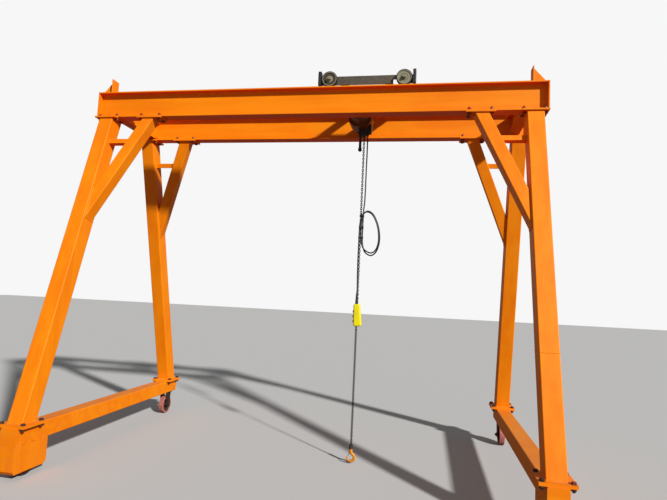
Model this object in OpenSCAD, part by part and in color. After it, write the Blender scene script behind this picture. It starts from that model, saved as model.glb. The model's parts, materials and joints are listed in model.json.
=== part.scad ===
// Gantry crane: two girders on sloping legs, with a chain hoist on a trolley.
// +X runs along the girders, the near side is -Y, and the floor is at z = 0.

/* [Girders] */
// Distance between the centres of the left and right legs
span = 4000; // [3400:50:4800]
// Height of the girders' undersides above the floor
girder_z = 3186; // [3000:2:3400]
// Length of each girder past the leg centres
girder_overhang = 116; // [90:2:160]
// Height of the girder section
girder_h = 254; // [220:2:300]
// Distance between the two girder webs
girder_gap = 740; // [700:10:820]
// Width of the girder flanges
flange_w = 125; // [110:1:140]
// Thickness of the girder flanges
flange_t = 11; // [8:0.5:14]
// Thickness of the girder webs
web_t = 8; // [6:0.5:12]
// Radius of the rolled fillet between web and flange
root_r = 10; // [6:1:14]
// Thickness of the plates that close the girder ends
girder_cap_t = 10; // [6:1:16]

/* [Cross beams] */
// Distance of each cross beam from the leg centres, towards the middle
cross_inset = 60; // [40:5:110]
// Height of the cross beams
cross_h = 200; // [160:5:210]
// Width of the cross beams' flanges
cross_w = 100; // [80:5:120]
// Thickness of the cross beams' flanges and webs
cross_t = 8; // [6:0.5:12]

/* [Legs] */
// Distance of the leg feet from the middle plane
leg_foot_y = 1154; // [1000:2:1300]
// Width of the leg tubes along the span
leg_w = 140; // [120:2:160]
// Depth of the leg tubes, square to their slope
leg_d = 152; // [130:2:170]
// Corner radius of the leg and beam tubes
tube_r = 8; // [4:1:14]
// Length of the leg head plates along the girder
head_l = 222; // [200:2:280]
// Width of the leg head plates across the girder
head_w = 200; // [180:2:230]
// Thickness of all head plates
head_t = 14; // [8:1:20]
// Side of the square base plates
base_plate_w = 240; // [200:2:280]
// Thickness of each base plate
base_plate_t = 12; // [8:1:20]

/* [Knee braces] */
// Side of the square brace tubes
brace_w = 110; // [80:2:120]
// Distance from the leg centre to the brace centre under the girder
brace_reach = 446; // [400:2:520]
// Height below the girder where the brace centre meets the leg
brace_drop = 910; // [760:5:1000]
// Length of the brace head plates along the girder
brace_plate_l = 250; // [240:2:280]
// Width of the brace head plates across the girder
brace_plate_w = 156; // [140:2:200]
// Side of the square struts between brace and leg
strut_w = 50; // [40:2:60]
// Height of the strut centres below the girder
strut_drop = 261; // [220:2:320]

/* [End stops] */
// Distance of the stop faces from the leg centres, towards the middle
stop_inset = 20; // [0:5:60]
// Height of the stop plates
stop_h = 138; // [120:2:180]
// Width of the stop plates
stop_w = 100; // [80:2:120]
// Thickness of the stop plates and their gussets
stop_t = 10; // [6:1:16]

/* [End beams] */
// Height of the end beams' undersides above the floor
beam_z = 261; // [240:1:300]
// Height of the end beams
beam_h = 137; // [120:1:160]
// Width of the end beams
beam_w = 140; // [120:2:160]
// Length of each end beam past the leg feet
beam_overhang = 128; // [120:2:200]

/* [Front feet] */
// Length of the housings under the front ends of the end beams
foot_l = 350; // [320:5:420]
// Gap between the housings and the floor
foot_gap = 50; // [30:1:60]
// Thickness of the housing plates
foot_t = 10; // [6:1:14]
// Length of the sloping cut at the housings' lower corners
foot_cut_l = 18; // [10:2:50]
// Height of the sloping cut at the housings' lower corners
foot_cut_h = 24; // [20:2:80]
// Width of the wheels inside the housings
front_wheel_w = 60; // [40:2:80]

/* [Ground wheels] */
// Radius of the ground wheels
wheel_r = 104; // [96:1:110]
// Width of the rear wheels
rear_wheel_w = 56; // [44:2:64]
// Distance of the rear wheel centres from the beam ends
caster_inset = 117; // [90:1:160]
// Thickness of the rear wheels' tyres
tyre_t = 24; // [14:1:30]
// Radius of the ground wheels' axles
axle_r = 15; // [10:1:20]
// Thickness of the fork plates
fork_t = 8; // [6:1:12]
// Width of the fork cheeks
cheek_w = 56; // [50:2:80]
// Side gap between a rear wheel and its fork
fork_gap = 6; // [5:1:10]

/* [Trolley] */
// Place of the trolley's middle along the girders
trolley_x = 550; // [-300:10:600]
// Distance between the wheel centres along the girder
wheelbase = 680; // [640:10:760]
// Radius of the trolley wheels
roller_r = 72; // [64:1:80]
// Width of the trolley wheels
roller_w = 38; // [30:1:46]
// Radius of the trolley wheels' axles
roller_axle_r = 12; // [8:1:16]
// Distance of the side plates' outer faces from the girder centre planes, outwards
side_plate_out = 10; // [6:1:16]
// Thickness of the side plates
side_plate_t = 12; // [8:1:16]
// Height of the side plates
side_plate_h = 80; // [70:1:100]
// Gap between the side plates and the girders
side_plate_lift = 30; // [10:1:34]
// Side of the square cross tubes between the side plates
trolley_tube_w = 60; // [50:2:70]
// Distance of the cross tubes from the trolley's middle
trolley_tube_x = 205; // [180:5:225]
// Thickness of the buffers along the girder
buffer_t = 28; // [20:1:36]
// Height of the buffers
buffer_h = 133; // [110:1:150]

/* [Hoist] */
// Place of the hoist's middle, from the trolley's middle
hoist_dx = -88; // [-100:2:-60]
// Drop of the hoist's underside below the girders' undersides
hoist_drop = 11; // [2:1:30]
// Width of the gear case
case_w = 210; // [190:2:220]
// Height of the gear case
case_h = 222; // [200:2:224]
// Depth of the gear case across the girders
case_d = 190; // [160:2:220]
// Radius of the motor
motor_r = 92; // [80:1:98]
// Length of the motor and of the brake cover
motor_l = 175; // [150:5:180]
// Thickness of the hanger bars
hanger_t = 10; // [8:1:14]
// Radius of the hanger pin
hanger_pin_r = 11; // [8:1:14]

/* [Chain and hook] */
// Wire diameter of the chain links
wire_d = 6.3; // [5:0.1:7]
// Pitch of the chain links
pitch = 19.1; // [18:0.1:21]
// Width over a chain link
link_w = 21.4; // [20:0.1:23]
// Place of the chain from the hoist's middle, towards +X
chain_dx = 38; // [30:1:50]
// Gap between the hook and the floor
hook_gap = 12; // [8:1:30]
// Radius of the hook's bowl, to the centre of its bar
bowl_r = 34; // [30:1:40]
// Radius of the hook's bar
bar_r = 12; // [9:1:14]

/* [Pendant control] */
// Diameter of the pendant cable
cable_d = 13; // [10:0.5:13]
// Width of the pendant
pendant_w = 78; // [60:1:84]
// Thickness of the pendant
pendant_t = 46; // [36:1:50]
// Height of the pendant
pendant_h = 208; // [180:1:230]
// Lean of the pendant
pendant_lean = 4; // [0:1:8]

/* [Hidden] */
$fn = 48;

left = -1;
right = 1;
front = -1;
rear = 1;
// Gap left at every running fit and loose seat
fit = 0.3;
orange = "#f5860f";
steel = "#7d7466";
black = "#1d1c1f";
yellow = "#f2e00a";

leg_x = span / 2;
girder_y = girder_gap / 2;
girder_top = girder_z + girder_h;
girder_l = span + 2 * girder_overhang;
beam_top = beam_z + beam_h;
base_top = beam_top + 2 * base_plate_t;
leg_slope = (leg_foot_y - girder_y) / (girder_z - base_top);
splay = atan(leg_slope);
beam_l = 2 * (leg_foot_y + beam_overhang);
leg_inner_x = leg_x - leg_w / 2;
big = 2 * girder_z;
hoist_z = girder_z - hoist_drop;

// A rounded rectangle, w by d, with its corners on arcs of radius r
module rounded_rect(w, d, r) {
    square([w - 2 * r, d], center = true);
    square([w, d - 2 * r], center = true);
    for (x = [-1, 1], y = [-1, 1])
        translate([x * (w / 2 - r), y * (d / 2 - r)])
            circle(r);
}

// Extrudes a Y-Z outline along X, centred on x = 0
module along_x(length) {
    translate([-length / 2, 0, 0])
        rotate([90, 0, 90])
            linear_extrude(length)
                children();
}

// Extrudes an X-Z outline along Y, centred on y = 0
module along_y(length) {
    translate([0, length / 2, 0])
        rotate([90, 0, 0])
            linear_extrude(length)
                children();
}

// A plate with its lower face at z = 0
module plate(l, w, t) {
    translate([-l / 2, -w / 2, 0])
        cube([l, w, t]);
}

// A cylinder along Y, centred on y = 0
module pin_y(r, length) {
    rotate([90, 0, 0])
        cylinder(r = r, h = length, center = true);
}

// A cylinder along X, centred on x = 0
module pin_x(r, length) {
    rotate([0, 90, 0])
        cylinder(r = r, h = length, center = true);
}

// The rolled section of a girder, standing on z = 0
module girder_section() {
    inner_h = girder_h - 2 * flange_t;
    translate([-flange_w / 2, 0])
        square([flange_w, flange_t]);
    translate([-flange_w / 2, girder_h - flange_t])
        square([flange_w, flange_t]);
    difference() {
        translate([-web_t / 2 - root_r, flange_t])
            square([web_t + 2 * root_r, inner_h]);
        for (s = [-1, 1]) {
            for (z = [flange_t + root_r, girder_h - flange_t - root_r])
                translate([s * (web_t / 2 + root_r), z])
                    circle(root_r);
            translate([s * (web_t / 2 + root_r) - root_r, flange_t + root_r])
                square([2 * root_r, inner_h - 2 * root_r]);
        }
    }
}

module girder(side) {
    color(orange)
        translate([0, side * girder_y, girder_z]) {
            along_x(girder_l)
                girder_section();
            for (hand = [left, right])
                translate([hand * (girder_l - girder_cap_t) / 2, 0, flange_t])
                    plate(girder_cap_t, flange_w - 4, girder_h - 2 * flange_t);
        }
}

// The cross beam sits on the girders' lower flanges and its web reaches their webs
module cross_beam(hand) {
    web_l = girder_gap - web_t;
    lower_l = girder_gap - flange_w;
    cope = root_r + 2;
    seat = girder_z + flange_t;
    color(orange)
        translate([hand * (leg_x - cross_inset), 0, seat]) {
            translate([0, 0, cross_h - cross_t])
                plate(cross_w, web_l, cross_t);
            plate(cross_w, lower_l, cross_t);
            along_x(cross_t)
                polygon([
                    [-web_l / 2 + cope, 0], [web_l / 2 - cope, 0],
                    [web_l / 2, cope], [web_l / 2, cross_h],
                    [-web_l / 2, cross_h], [-web_l / 2, cope]
                ]);
        }
}

// Puts a shape into the sloping plane of the legs, with z = 0 at the girder's underside
module in_leg_plane(side) {
    translate([0, side * girder_y, girder_z])
        rotate([side * splay, 0, 0])
            children();
}

// Keeps what lies between two heights
module between_heights(low, high) {
    intersection() {
        children();
        translate([-big / 2, -big / 2, low])
            cube([big, big, high - low]);
    }
}

module leg(hand, side) {
    color(orange) {
        between_heights(base_top, girder_z - head_t)
            in_leg_plane(side)
                translate([hand * leg_x, 0, -big / 2])
                    linear_extrude(big)
                        rounded_rect(leg_w, leg_d, tube_r);
        translate([hand * leg_x, side * girder_y, girder_z - head_t])
            plate(head_l, head_w, head_t);
        translate([hand * leg_x, side * leg_foot_y, beam_top + base_plate_t])
            plate(base_plate_w, base_plate_w, base_plate_t);
    }
}

// The brace tube of the right-hand end, longer than it needs to be at both ends
module brace_bar(side, w) {
    drop = brace_drop / cos(splay);
    run = brace_reach - leg_w / 2;
    lean = atan2(run, drop);
    in_leg_plane(side)
        translate([leg_x - brace_reach, 0, 0])
            rotate([0, -lean, 0])
                translate([0, 0, -1.4 * drop])
                    linear_extrude(1.6 * drop)
                        rounded_rect(w, w, tube_r);
}

module brace(hand, side) {
    color(orange)
        scale_hand(hand) {
            intersection() {
                brace_bar(side, brace_w);
                translate([0, -big / 2, 0])
                    cube([leg_inner_x, big, girder_z - head_t]);
            }
            translate([leg_x - brace_reach, side * girder_y, girder_z - head_t])
                plate(brace_plate_l, brace_plate_w, head_t);
        }
}

// Mirrors a right-hand piece to the left
module scale_hand(hand) {
    mirror([hand == left ? 1 : 0, 0, 0])
        children();
}

// The two struts of one end, each between a brace and its leg
module struts(hand) {
    strut_l = brace_reach - leg_w / 2;
    color(orange)
        scale_hand(hand)
            for (side = [front, rear])
                difference() {
                    in_leg_plane(side)
                        translate([leg_inner_x - strut_l / 2, 0, -strut_drop / cos(splay)])
                            along_x(strut_l)
                                rounded_rect(strut_w, strut_w, tube_r / 2);
                    brace_bar(side, brace_w);
                    in_leg_plane(side)
                        translate([leg_inner_x - strut_l - brace_w, -strut_w, -strut_drop / cos(splay) - brace_w])
                            cube([brace_w + strut_cut(), 2 * strut_w, 2 * brace_w]);
                }
}

// Length of strut that would poke out beyond the brace's inner side
function strut_cut() =
    let (drop = brace_drop / cos(splay), run = brace_reach - leg_w / 2)
    run * (strut_drop / cos(splay)) / drop;

// The two stops at one end of the girders, each with a gusset behind its outer edge
module end_stops(hand) {
    back_x = leg_x - stop_inset + stop_t;
    end_x = girder_l / 2 - 4;
    color(orange)
        scale_hand(hand)
            for (side = [front, rear])
                translate([0, side * girder_y, girder_top]) {
                    translate([back_x - stop_t / 2, 0, 0])
                        plate(stop_t, stop_w, stop_h);
                    translate([0, side * (stop_w - stop_t) / 2, 0])
                        along_y(stop_t)
                            polygon([[back_x, 0], [end_x, 0], [end_x, stop_t], [back_x, stop_h]]);
                }
}

module end_beam(hand) {
    color(orange)
        translate([hand * leg_x, 0, 0]) {
            translate([0, 0, beam_z + beam_h / 2])
                along_y(beam_l)
                    rounded_rect(beam_w, beam_h, tube_r);
            for (side = [front, rear])
                translate([0, side * leg_foot_y, beam_top])
                    plate(base_plate_w, base_plate_w, base_plate_t);
        }
}

// Outline of the front housings, inset by t on every side but the bottom
module foot_outline(t) {
    y0 = -beam_l / 2 + t;
    y1 = y0 + foot_l - 2 * t;
    top = beam_z - t;
    polygon([
        [y0, top], [y0, foot_gap + foot_cut_h],
        [y0 + foot_cut_l, foot_gap - t], [y1 - foot_cut_l, foot_gap - t],
        [y1, foot_gap + foot_cut_h], [y1, top]
    ]);
}

foot_wheel_y = -beam_l / 2 + foot_l / 2;

module front_foot(hand) {
    color(orange)
        translate([hand * leg_x, 0, 0])
            difference() {
                along_x(beam_w)
                    foot_outline(0);
                along_x(beam_w - 2 * foot_t)
                    foot_outline(foot_t);
            }
}

module front_wheel(hand) {
    color(steel)
        translate([hand * leg_x, foot_wheel_y, wheel_r]) {
            pin_x(wheel_r, front_wheel_w);
            pin_x(axle_r, beam_w - 2 * foot_t);
        }
}

caster_y = beam_l / 2 - caster_inset;
fork_w = rear_wheel_w + 2 * fork_gap + 2 * fork_t;

// The rear fork: a top plate under the end beam, two cheeks and the axle with its nuts
module wheel_fork(hand) {
    top_l = 2 * cheek_w;
    color(black)
        translate([hand * leg_x, caster_y, 0]) {
            translate([0, 0, beam_z - base_plate_t])
                plate(fork_w + 20, top_l + 24, base_plate_t);
            for (s = [-1, 1])
                translate([s * (fork_w - fork_t) / 2, 0, 0])
                    along_x(fork_t) {
                        translate([0, wheel_r])
                            circle(cheek_w / 2);
                        polygon([
                            [-cheek_w / 2, wheel_r], [cheek_w / 2, wheel_r],
                            [top_l / 2, beam_z - base_plate_t], [-top_l / 2, beam_z - base_plate_t]
                        ]);
                    }
            translate([0, 0, wheel_r]) {
                pin_x(axle_r, fork_w + 12);
                for (s = [-1, 1])
                    translate([s * (fork_w + 8) / 2, 0, 0])
                        rotate([0, 90, 0])
                            cylinder(r = 1.5 * axle_r, h = 8, center = true, $fn = 6);
            }
        }
}

module rear_tyre(hand) {
    color("#b4564f")
        translate([hand * leg_x, caster_y, wheel_r])
            rotate([0, 90, 0])
                rotate_extrude()
                    translate([wheel_r - tyre_t, -rear_wheel_w / 2])
                        tyre_section();
}

// Tyre section with its outer corners cut
module tyre_section() {
    c = 5;
    polygon([
        [0, 0], [tyre_t - c, 0], [tyre_t, c],
        [tyre_t, rear_wheel_w - c], [tyre_t - c, rear_wheel_w], [0, rear_wheel_w]
    ]);
}

// Cast wheel centre: rim, thin web and a long hub, bored for the axle
module rear_hub(hand) {
    hub_r = axle_r + 14;
    rim_r = wheel_r - tyre_t;
    color("#3a2a22")
        translate([hand * leg_x, caster_y, wheel_r])
            rotate([0, 90, 0])
                rotate_extrude() {
                    translate([axle_r + fit, -rear_wheel_w / 2 - fork_gap / 2])
                        square([hub_r - axle_r - fit, rear_wheel_w + fork_gap]);
                    translate([rim_r - 9, -rear_wheel_w / 2 + 2])
                        square([9, rear_wheel_w - 4]);
                    translate([hub_r - 1, -6])
                        square([rim_r - hub_r, 12]);
                }
}

roller_z = girder_top + fit + roller_r;
side_plate_y = girder_y + side_plate_out;
roller_gap = 5;
roller_y = side_plate_y + roller_gap + roller_w / 2;
buffer_gap = 5;
buffer_x = wheelbase / 2 + roller_r + buffer_gap;
side_plate_z = girder_top + side_plate_lift;

// Side plate with the axles, and a round-cornered cut near the right wheel
module trolley_plate(side) {
    plate_l = 2 * buffer_x;
    notch_x = wheelbase / 2 - roller_r - 50;
    notch_h = side_plate_h / 2;
    color(steel)
        translate([trolley_x, side * (side_plate_y - side_plate_t / 2), 0]) {
            difference() {
                translate([0, 0, side_plate_z])
                    plate(plate_l, side_plate_t, side_plate_h);
                translate([notch_x + 20, 0, side_plate_z - 1])
                    plate(40, side_plate_t + 2, notch_h - 19);
                translate([notch_x + 20, 0, side_plate_z + notch_h - 20])
                    pin_y(20, side_plate_t + 2);
                translate([notch_x + 45, 0, side_plate_z - 1])
                    plate(52, side_plate_t + 2, notch_h + 1);
            }
            for (x = [-1, 1])
                translate([x * wheelbase / 2, 0, roller_z]) {
                    translate([0, side * (side_plate_t / 2 + (roller_w + 2 * roller_gap) / 2), 0])
                        pin_y(roller_axle_r, roller_w + 2 * roller_gap);
                    translate([0, side * (side_plate_t / 2 + roller_w + roller_gap + 4), 0])
                        pin_y(roller_axle_r + 6, 7);
                }
        }
}

// A trolley wheel: tread, recessed web and hub
module roller(hand, side) {
    hub_r = roller_axle_r + 12;
    rim_t = 14;
    half = roller_w / 2;
    color(steel)
        translate([trolley_x + hand * wheelbase / 2, side * roller_y, roller_z])
            rotate([90, 0, 0])
                rotate_extrude($fn = 64)
                    polygon([
                        [roller_axle_r + fit, -half], [hub_r, -half], [hub_r, -half + 6],
                        [roller_r - rim_t, -half + 6], [roller_r - rim_t, -half],
                        [roller_r - 2, -half], [roller_r, -half + 2],
                        [roller_r, half - 2], [roller_r - 2, half],
                        [roller_r - rim_t, half], [roller_r - rim_t, half - 6],
                        [hub_r, half - 6], [hub_r, half], [roller_axle_r + fit, half]
                    ]);
}

module trolley_cross_tubes() {
    tube_l = 2 * (side_plate_y - side_plate_t);
    color(steel)
        for (x = [-1, 1])
            translate([trolley_x + x * trolley_tube_x, 0, tube_z + trolley_tube_w / 2])
                along_y(tube_l)
                    rounded_rect(trolley_tube_w, trolley_tube_w, 5);
}

tube_z = girder_top + 14;

// The two buffers at one end of the trolley
module buffers(hand) {
    z0 = girder_top + 13;
    y_in = side_plate_y - side_plate_t;
    y_out = roller_y + roller_w / 2;
    color(black)
        for (side = [front, rear])
            translate([trolley_x + hand * (buffer_x + buffer_t / 2), side * (y_in + y_out) / 2, z0])
                plate(buffer_t, y_out - y_in, buffer_h);
}

hoist_x = trolley_x + hoist_dx;
hanger_pin_z = tube_z + 22;
hanger_y = 30;

// Two bars between the cross tubes, and the pin that carries the hoist
module hoist_hanger() {
    bar_l = 2 * trolley_tube_x - trolley_tube_w;
    color(steel) {
        for (side = [front, rear])
            translate([trolley_x, side * hanger_y, tube_z])
                plate(bar_l, hanger_t, trolley_tube_w);
        translate([hoist_x, 0, hanger_pin_z])
            pin_y(hanger_pin_r, 2 * hanger_y + hanger_t + 16);
    }
}

case_z = hoist_z + case_h / 2;

// Gear case with its lifting eye
module hoist_gear_case() {
    cut = 45;
    top = hoist_z + case_h;
    w = case_w / 2;
    eye_t = 24;
    color("#8a5a2c")
        translate([hoist_x, 0, 0])
            difference() {
                union() {
                    along_y(case_d)
                        polygon([
                            [-w + cut, hoist_z], [w - cut, hoist_z], [w, hoist_z + cut],
                            [w, top - cut], [w - cut, top], [-w + cut, top],
                            [-w, top - cut], [-w, hoist_z + cut]
                        ]);
                    along_y(eye_t) {
                        translate([-30, top - 1])
                            square([60, hanger_pin_z - top + 1]);
                        translate([0, hanger_pin_z])
                            circle(30);
                    }
                }
                translate([0, 0, hanger_pin_z])
                    pin_y(hanger_pin_r + fit, case_d);
            }
}

// Motor with cooling ribs round it
module hoist_motor() {
    rib_t = 5;
    rib_n = 10;
    rib_h = 8;
    color("#8a5a2c")
        translate([hoist_x, case_d / 2, case_z])
            rotate([-90, 0, 0])
                rotate_extrude()
                    union() {
                        square([motor_r - rib_h, motor_l]);
                        for (i = [0 : rib_n - 1])
                            translate([0, i * (motor_l - rib_t) / (rib_n - 1)])
                                square([motor_r, rib_t]);
                    }
}

module hoist_brake_cover() {
    edge = 30;
    color("#8a5a2c")
        translate([hoist_x, -case_d / 2, case_z])
            rotate([90, 0, 0])
                rotate_extrude()
                    union() {
                        square([motor_r, motor_l - edge]);
                        square([motor_r - edge, motor_l]);
                        translate([motor_r - edge, motor_l - edge])
                            circle(edge);
                    }
}

chain_x = hoist_x + chain_dx;
bend_r = (link_w - wire_d) / 2;
link_straight = pitch + wire_d - 2 * bend_r;
link_step = pitch - fit;
link_half = link_straight / 2 + bend_r;
link_pin_r = bend_r - wire_d / 2 - 0.4;
// Drop from a link's centre to the centre of a pin that it hangs on or carries
pin_offset = link_half - wire_d / 2 - fit - link_pin_r;
guide_h = 65;
chain_top_z = hoist_z - 20;
first_link_z = chain_top_z - link_half;
bowl_z = hook_gap + bar_r + bowl_r;
neck_z = bowl_z + 2 * bowl_r * sin(60);
// Height of the coupling's solid base, with the gap over it up to the last link
coupling_base_h = 20;
link_gap = 4;
// Room for the hook's shoulder between its neck and the coupling
shoulder_h = 5;
lowest_link_z = neck_z + shoulder_h + coupling_base_h + link_gap + link_half;
link_n = floor((first_link_z - lowest_link_z) / link_step) + 1;
last_link_z = first_link_z - (link_n - 1) * link_step;
last_turn = (link_n - 1) % 2 * 90;

// One closed link standing in the X-Z plane
module link() {
    for (s = [-1, 1]) {
        translate([0, 0, s * link_straight / 2])
            rotate([90, 0, 0])
                rotate([0, 0, s < 0 ? 180 : 0])
                    rotate_extrude(angle = 180, $fn = 24)
                        translate([bend_r, 0])
                            circle(wire_d / 2);
        translate([s * bend_r, 0, 0])
            cylinder(r = wire_d / 2, h = link_straight, center = true, $fn = 24);
    }
}

// Every second link of the chain: turn 0 faces the front, turn 1 lies edge on between those
module chain_links(turn) {
    color(black)
        for (i = [turn : 2 : link_n - 1])
            translate([chain_x, 0, first_link_z - i * link_step])
                rotate([0, 0, 90 * turn])
                    link();
}

// Block under the gear case that leads the chain, with the pin of the first link
module chain_guide() {
    hole = link_w + 4;
    color(black)
        translate([0, 0, hoist_z - guide_h])
            difference() {
                translate([guide_right - guide_w / 2, 0, 0])
                    plate(guide_w, 60, guide_h);
                translate([chain_x, 0, -1])
                    plate(hole, hole, guide_h - 14 + 1);
                translate([tail_x, 0, -1])
                    cylinder(r = tail_r + fit, h = tail_seat + 1);
            }
    color(black)
        translate([chain_x, 0, first_link_z + pin_offset])
            pin_y(link_pin_r, hole);
}

guide_w = 76;
guide_right = chain_x + 20;
tail_x = chain_x - 38;
tail_r = 10;
tail_l = 175;
tail_seat = 20;

// Slack end of the chain in its sleeve, with the round stop at its end
module chain_tail_stop() {
    sleeve_r = tail_r + 3;
    sleeve_l = tail_l - tail_seat - 5;
    color(black)
        translate([tail_x, 0, hoist_z - guide_h + tail_seat - tail_l])
            rotate_extrude()
                polygon([
                    [0, 0], [tail_r, 0], [sleeve_r + 5, 8], [sleeve_r + 6, 20],
                    [sleeve_r + 3, 34], [sleeve_r, 40], [sleeve_r, sleeve_l - 5],
                    [tail_r, sleeve_l], [tail_r, tail_l], [0, tail_l]
                ]);
}

// Forked block on the last link, bored for the hook's shank
module chain_coupling() {
    pin_z = last_link_z - pin_offset;
    low = coupling_low + coupling_base_h;
    r = 17;
    color(black)
        translate([chain_x, 0, 0])
            rotate([0, 0, last_turn]) {
                difference() {
                    translate([0, 0, coupling_low])
                        cylinder(r = r, h = pin_z + 8 - coupling_low);
                    translate([0, 0, low])
                        plate(link_w + 2, wire_d + 1.4, link_w + pitch);
                    translate([0, 0, pin_z + 3])
                        rotate([0, 0, 90])
                            plate(wire_d + 1.4, wire_d + 1.4, pitch);
                    translate([0, 0, coupling_low - 1])
                        cylinder(r = shank_r + fit, h = 15);
                }
                translate([0, 0, pin_z])
                    pin_y(link_pin_r, 2 * r - 6);
            }
}

shank_r = 8;
coupling_low = last_link_z - link_half - link_gap - coupling_base_h;
tip_turn = -195;

// Middle line of the hook's bar: round the bowl from the tip, back to the middle, and up
hook_line = [
    for (a = [tip_turn : 15 : 60]) [bowl_r * cos(a), 0, bowl_z + bowl_r * sin(a)],
    for (a = [225 : -15 : 180]) [bowl_r + bowl_r * cos(a), 0, neck_z + bowl_r * sin(a)],
    [0, 0, coupling_low - fit - 3],
    [0, 0, coupling_low - fit],
    [0, 0, coupling_low + 13]
];
// The bar swells from the tip to the bottom of the bowl and is even above it
function bar_at(a) = bar_r * (0.45 + 0.6 * min(1, (a - tip_turn) / 100));
hook_radii = [
    for (a = [tip_turn : 15 : 60]) bar_at(a),
    for (i = [1 : 5]) bar_r,
    shank_r, shank_r
];

// Forged hook with its bowl open towards -X, and the shank that turns in the coupling
module hook() {
    color(orange)
        translate([chain_x, 0, 0])
            tube(hook_line, hook_radii, 16);
}

// Left face of the neck's bar at a height above the bowl's centre, less a small gap
function neck_face(h) =
    bowl_r - sqrt(pow(bowl_r + bar_r, 2) - pow(h + bowl_z - neck_z, 2)) - 0.4;

// Spring latch from the neck to the inner side of the hook's tip
module hook_latch() {
    latch_w = 8;
    latch_t = 3;
    low = (bowl_r - bar_at(tip_turn) - 0.6) * [cos(160), sin(160)];
    high = neck_z - bowl_z - 10;
    color(steel)
        translate([chain_x, 0, bowl_z])
            along_y(latch_w)
                polygon([
                    low, low + [latch_t - 0.4, -1.2], [neck_face(high - 5) - 0.2, high - 10],
                    [neck_face(high - 5), high - 5], [neck_face(high), high],
                    [neck_face(high) - latch_t, high]
                ]);
}

// Route of the pendant cable from the outlet to the pendant, with two turns of spare length
cable_route = [
    [534, 0, 3105], [534, 0, 3060], [534, 0, 2900], [533, 0, 2740], [533, 0, 2580],
    [531, 0, 2460], [526, -6, 2380], [524, -9, 2290], [523, -9, 2190], [523, -9, 2100],
    [530, -9, 2030], [556, -9, 1965], [610, -10, 1937], [656, -12, 1967], [682, -14, 2030],
    [690, -16, 2100], [680, -18, 2190], [655, -20, 2270], [618, -22, 2335], [568, -24, 2362],
    [526, -25, 2330], [512, -25, 2260], [510, -25, 2170], [513, -25, 2080], [534, -25, 2010],
    [574, -26, 1970], [622, -28, 1964], [658, -30, 2006], [674, -33, 2080], [667, -36, 2180],
    [640, -39, 2270], [596, -41, 2334], [548, -42, 2344], [510, -42, 2300], [498, -42, 2210],
    [496, -42, 2060], [495, -42, 1890], [497, -42, 1740], [500, -42, 1640], [500, -42, 1580]
];
route_n = len(cable_route);
ring_n = 2;
cable_sides = 8;

// Catmull-Rom curve through the route's points, ring_n steps to each stretch
function route_at(i) = cable_route[max(0, min(route_n - 1, i))];
function curve(i, t) =
    let (a = route_at(i - 1), b = route_at(i), c = route_at(i + 1), d = route_at(i + 2))
    0.5 * (2 * b + (c - a) * t + (2 * a - 5 * b + 4 * c - d) * t * t
        + (3 * b - a - 3 * c + d) * t * t * t);
function unit(v) = v / norm(v);
cable_points = [
    for (i = [0 : route_n - 2], k = [0 : ring_n - 1]) curve(i, k / ring_n),
    cable_route[route_n - 1]
];

// Ring of points round a curve's point p, square to its direction t
function ring(p, t, r, sides) =
    let (u = unit(cross([0, 1, 0], t)), v = cross(t, u))
    [for (k = [0 : sides - 1]) p + r * (cos(360 * k / sides) * u + sin(360 * k / sides) * v)];

// A closed tube along a list of points, with a radius for each
module tube(points, radii, sides) {
    n = len(points);
    verts = [for (i = [0 : n - 1])
        each ring(points[i], unit(points[min(i + 1, n - 1)] - points[max(i - 1, 0)]), radii[i], sides)];
    walls = [for (i = [0 : n - 2], k = [0 : sides - 1])
        let (a = i * sides + k, b = i * sides + (k + 1) % sides)
        each [[a, b, b + sides], [a, b + sides, a + sides]]];
    first = [for (k = [0 : sides - 1]) sides - 1 - k];
    last = [for (k = [0 : sides - 1]) (n - 1) * sides + k];
    polyhedron(points = verts, faces = concat(walls, [first, last]), convexity = 10);
}

module pendant_cable() {
    color(black)
        tube(cable_points, [for (p = cable_points) cable_d / 2], cable_sides);
}

// Black switch box at the gear case's lower corner, with the nut that grips the cable
module cable_outlet() {
    nut_h = 25;
    start = cable_route[0];
    box_z = start.z + nut_h;
    color(black) {
        difference() {
            translate([start.x + 6, 0, box_z])
                plate(54, 60, 88);
            hoist_gear_case();
            translate([guide_right - guide_w, -case_d / 2, hoist_z - guide_h - 1])
                cube([guide_w + fit, case_d, guide_h + 1]);
        }
        translate([start.x, 0, start.z])
            cylinder(r1 = cable_d / 2 + 3, r2 = cable_d / 2 + 7, h = nut_h);
    }
}

pendant_top = 1472;
pendant_at = [503, -42];

// Tapered gland between the cable and the pendant
module pendant_gland() {
    stop = cable_route[route_n - 1];
    gland_h = stop.z - pendant_top;
    color(black)
        translate([stop.x, stop.y, pendant_top - 2])
            cylinder(r1 = 15, r2 = cable_d / 2 + 2, h = gland_h + 2);
}

// Puts a shape into the pendant's own frame, with z = 0 at its top
module at_pendant() {
    translate([pendant_at.x, pendant_at.y, pendant_top])
        rotate([0, -pendant_lean, 0])
            children();
}

module pendant_body() {
    color(yellow)
        difference() {
            at_pendant()
                translate([0, 0, -pendant_h])
                    linear_extrude(pendant_h)
                        rounded_rect(pendant_w, pendant_t, 14);
            pendant_gland();
        }
}

// Push buttons in their rubber boots on the pendant's narrow side
module pendant_buttons() {
    button_r = 11;
    button_h = 8;
    spacing = 45;
    color(black)
        at_pendant()
            for (i = [-1 : 1])
                translate([-(pendant_w + button_h) / 2, 0, i * spacing - 0.55 * pendant_h])
                    pin_x(button_r, button_h);
}

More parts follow.
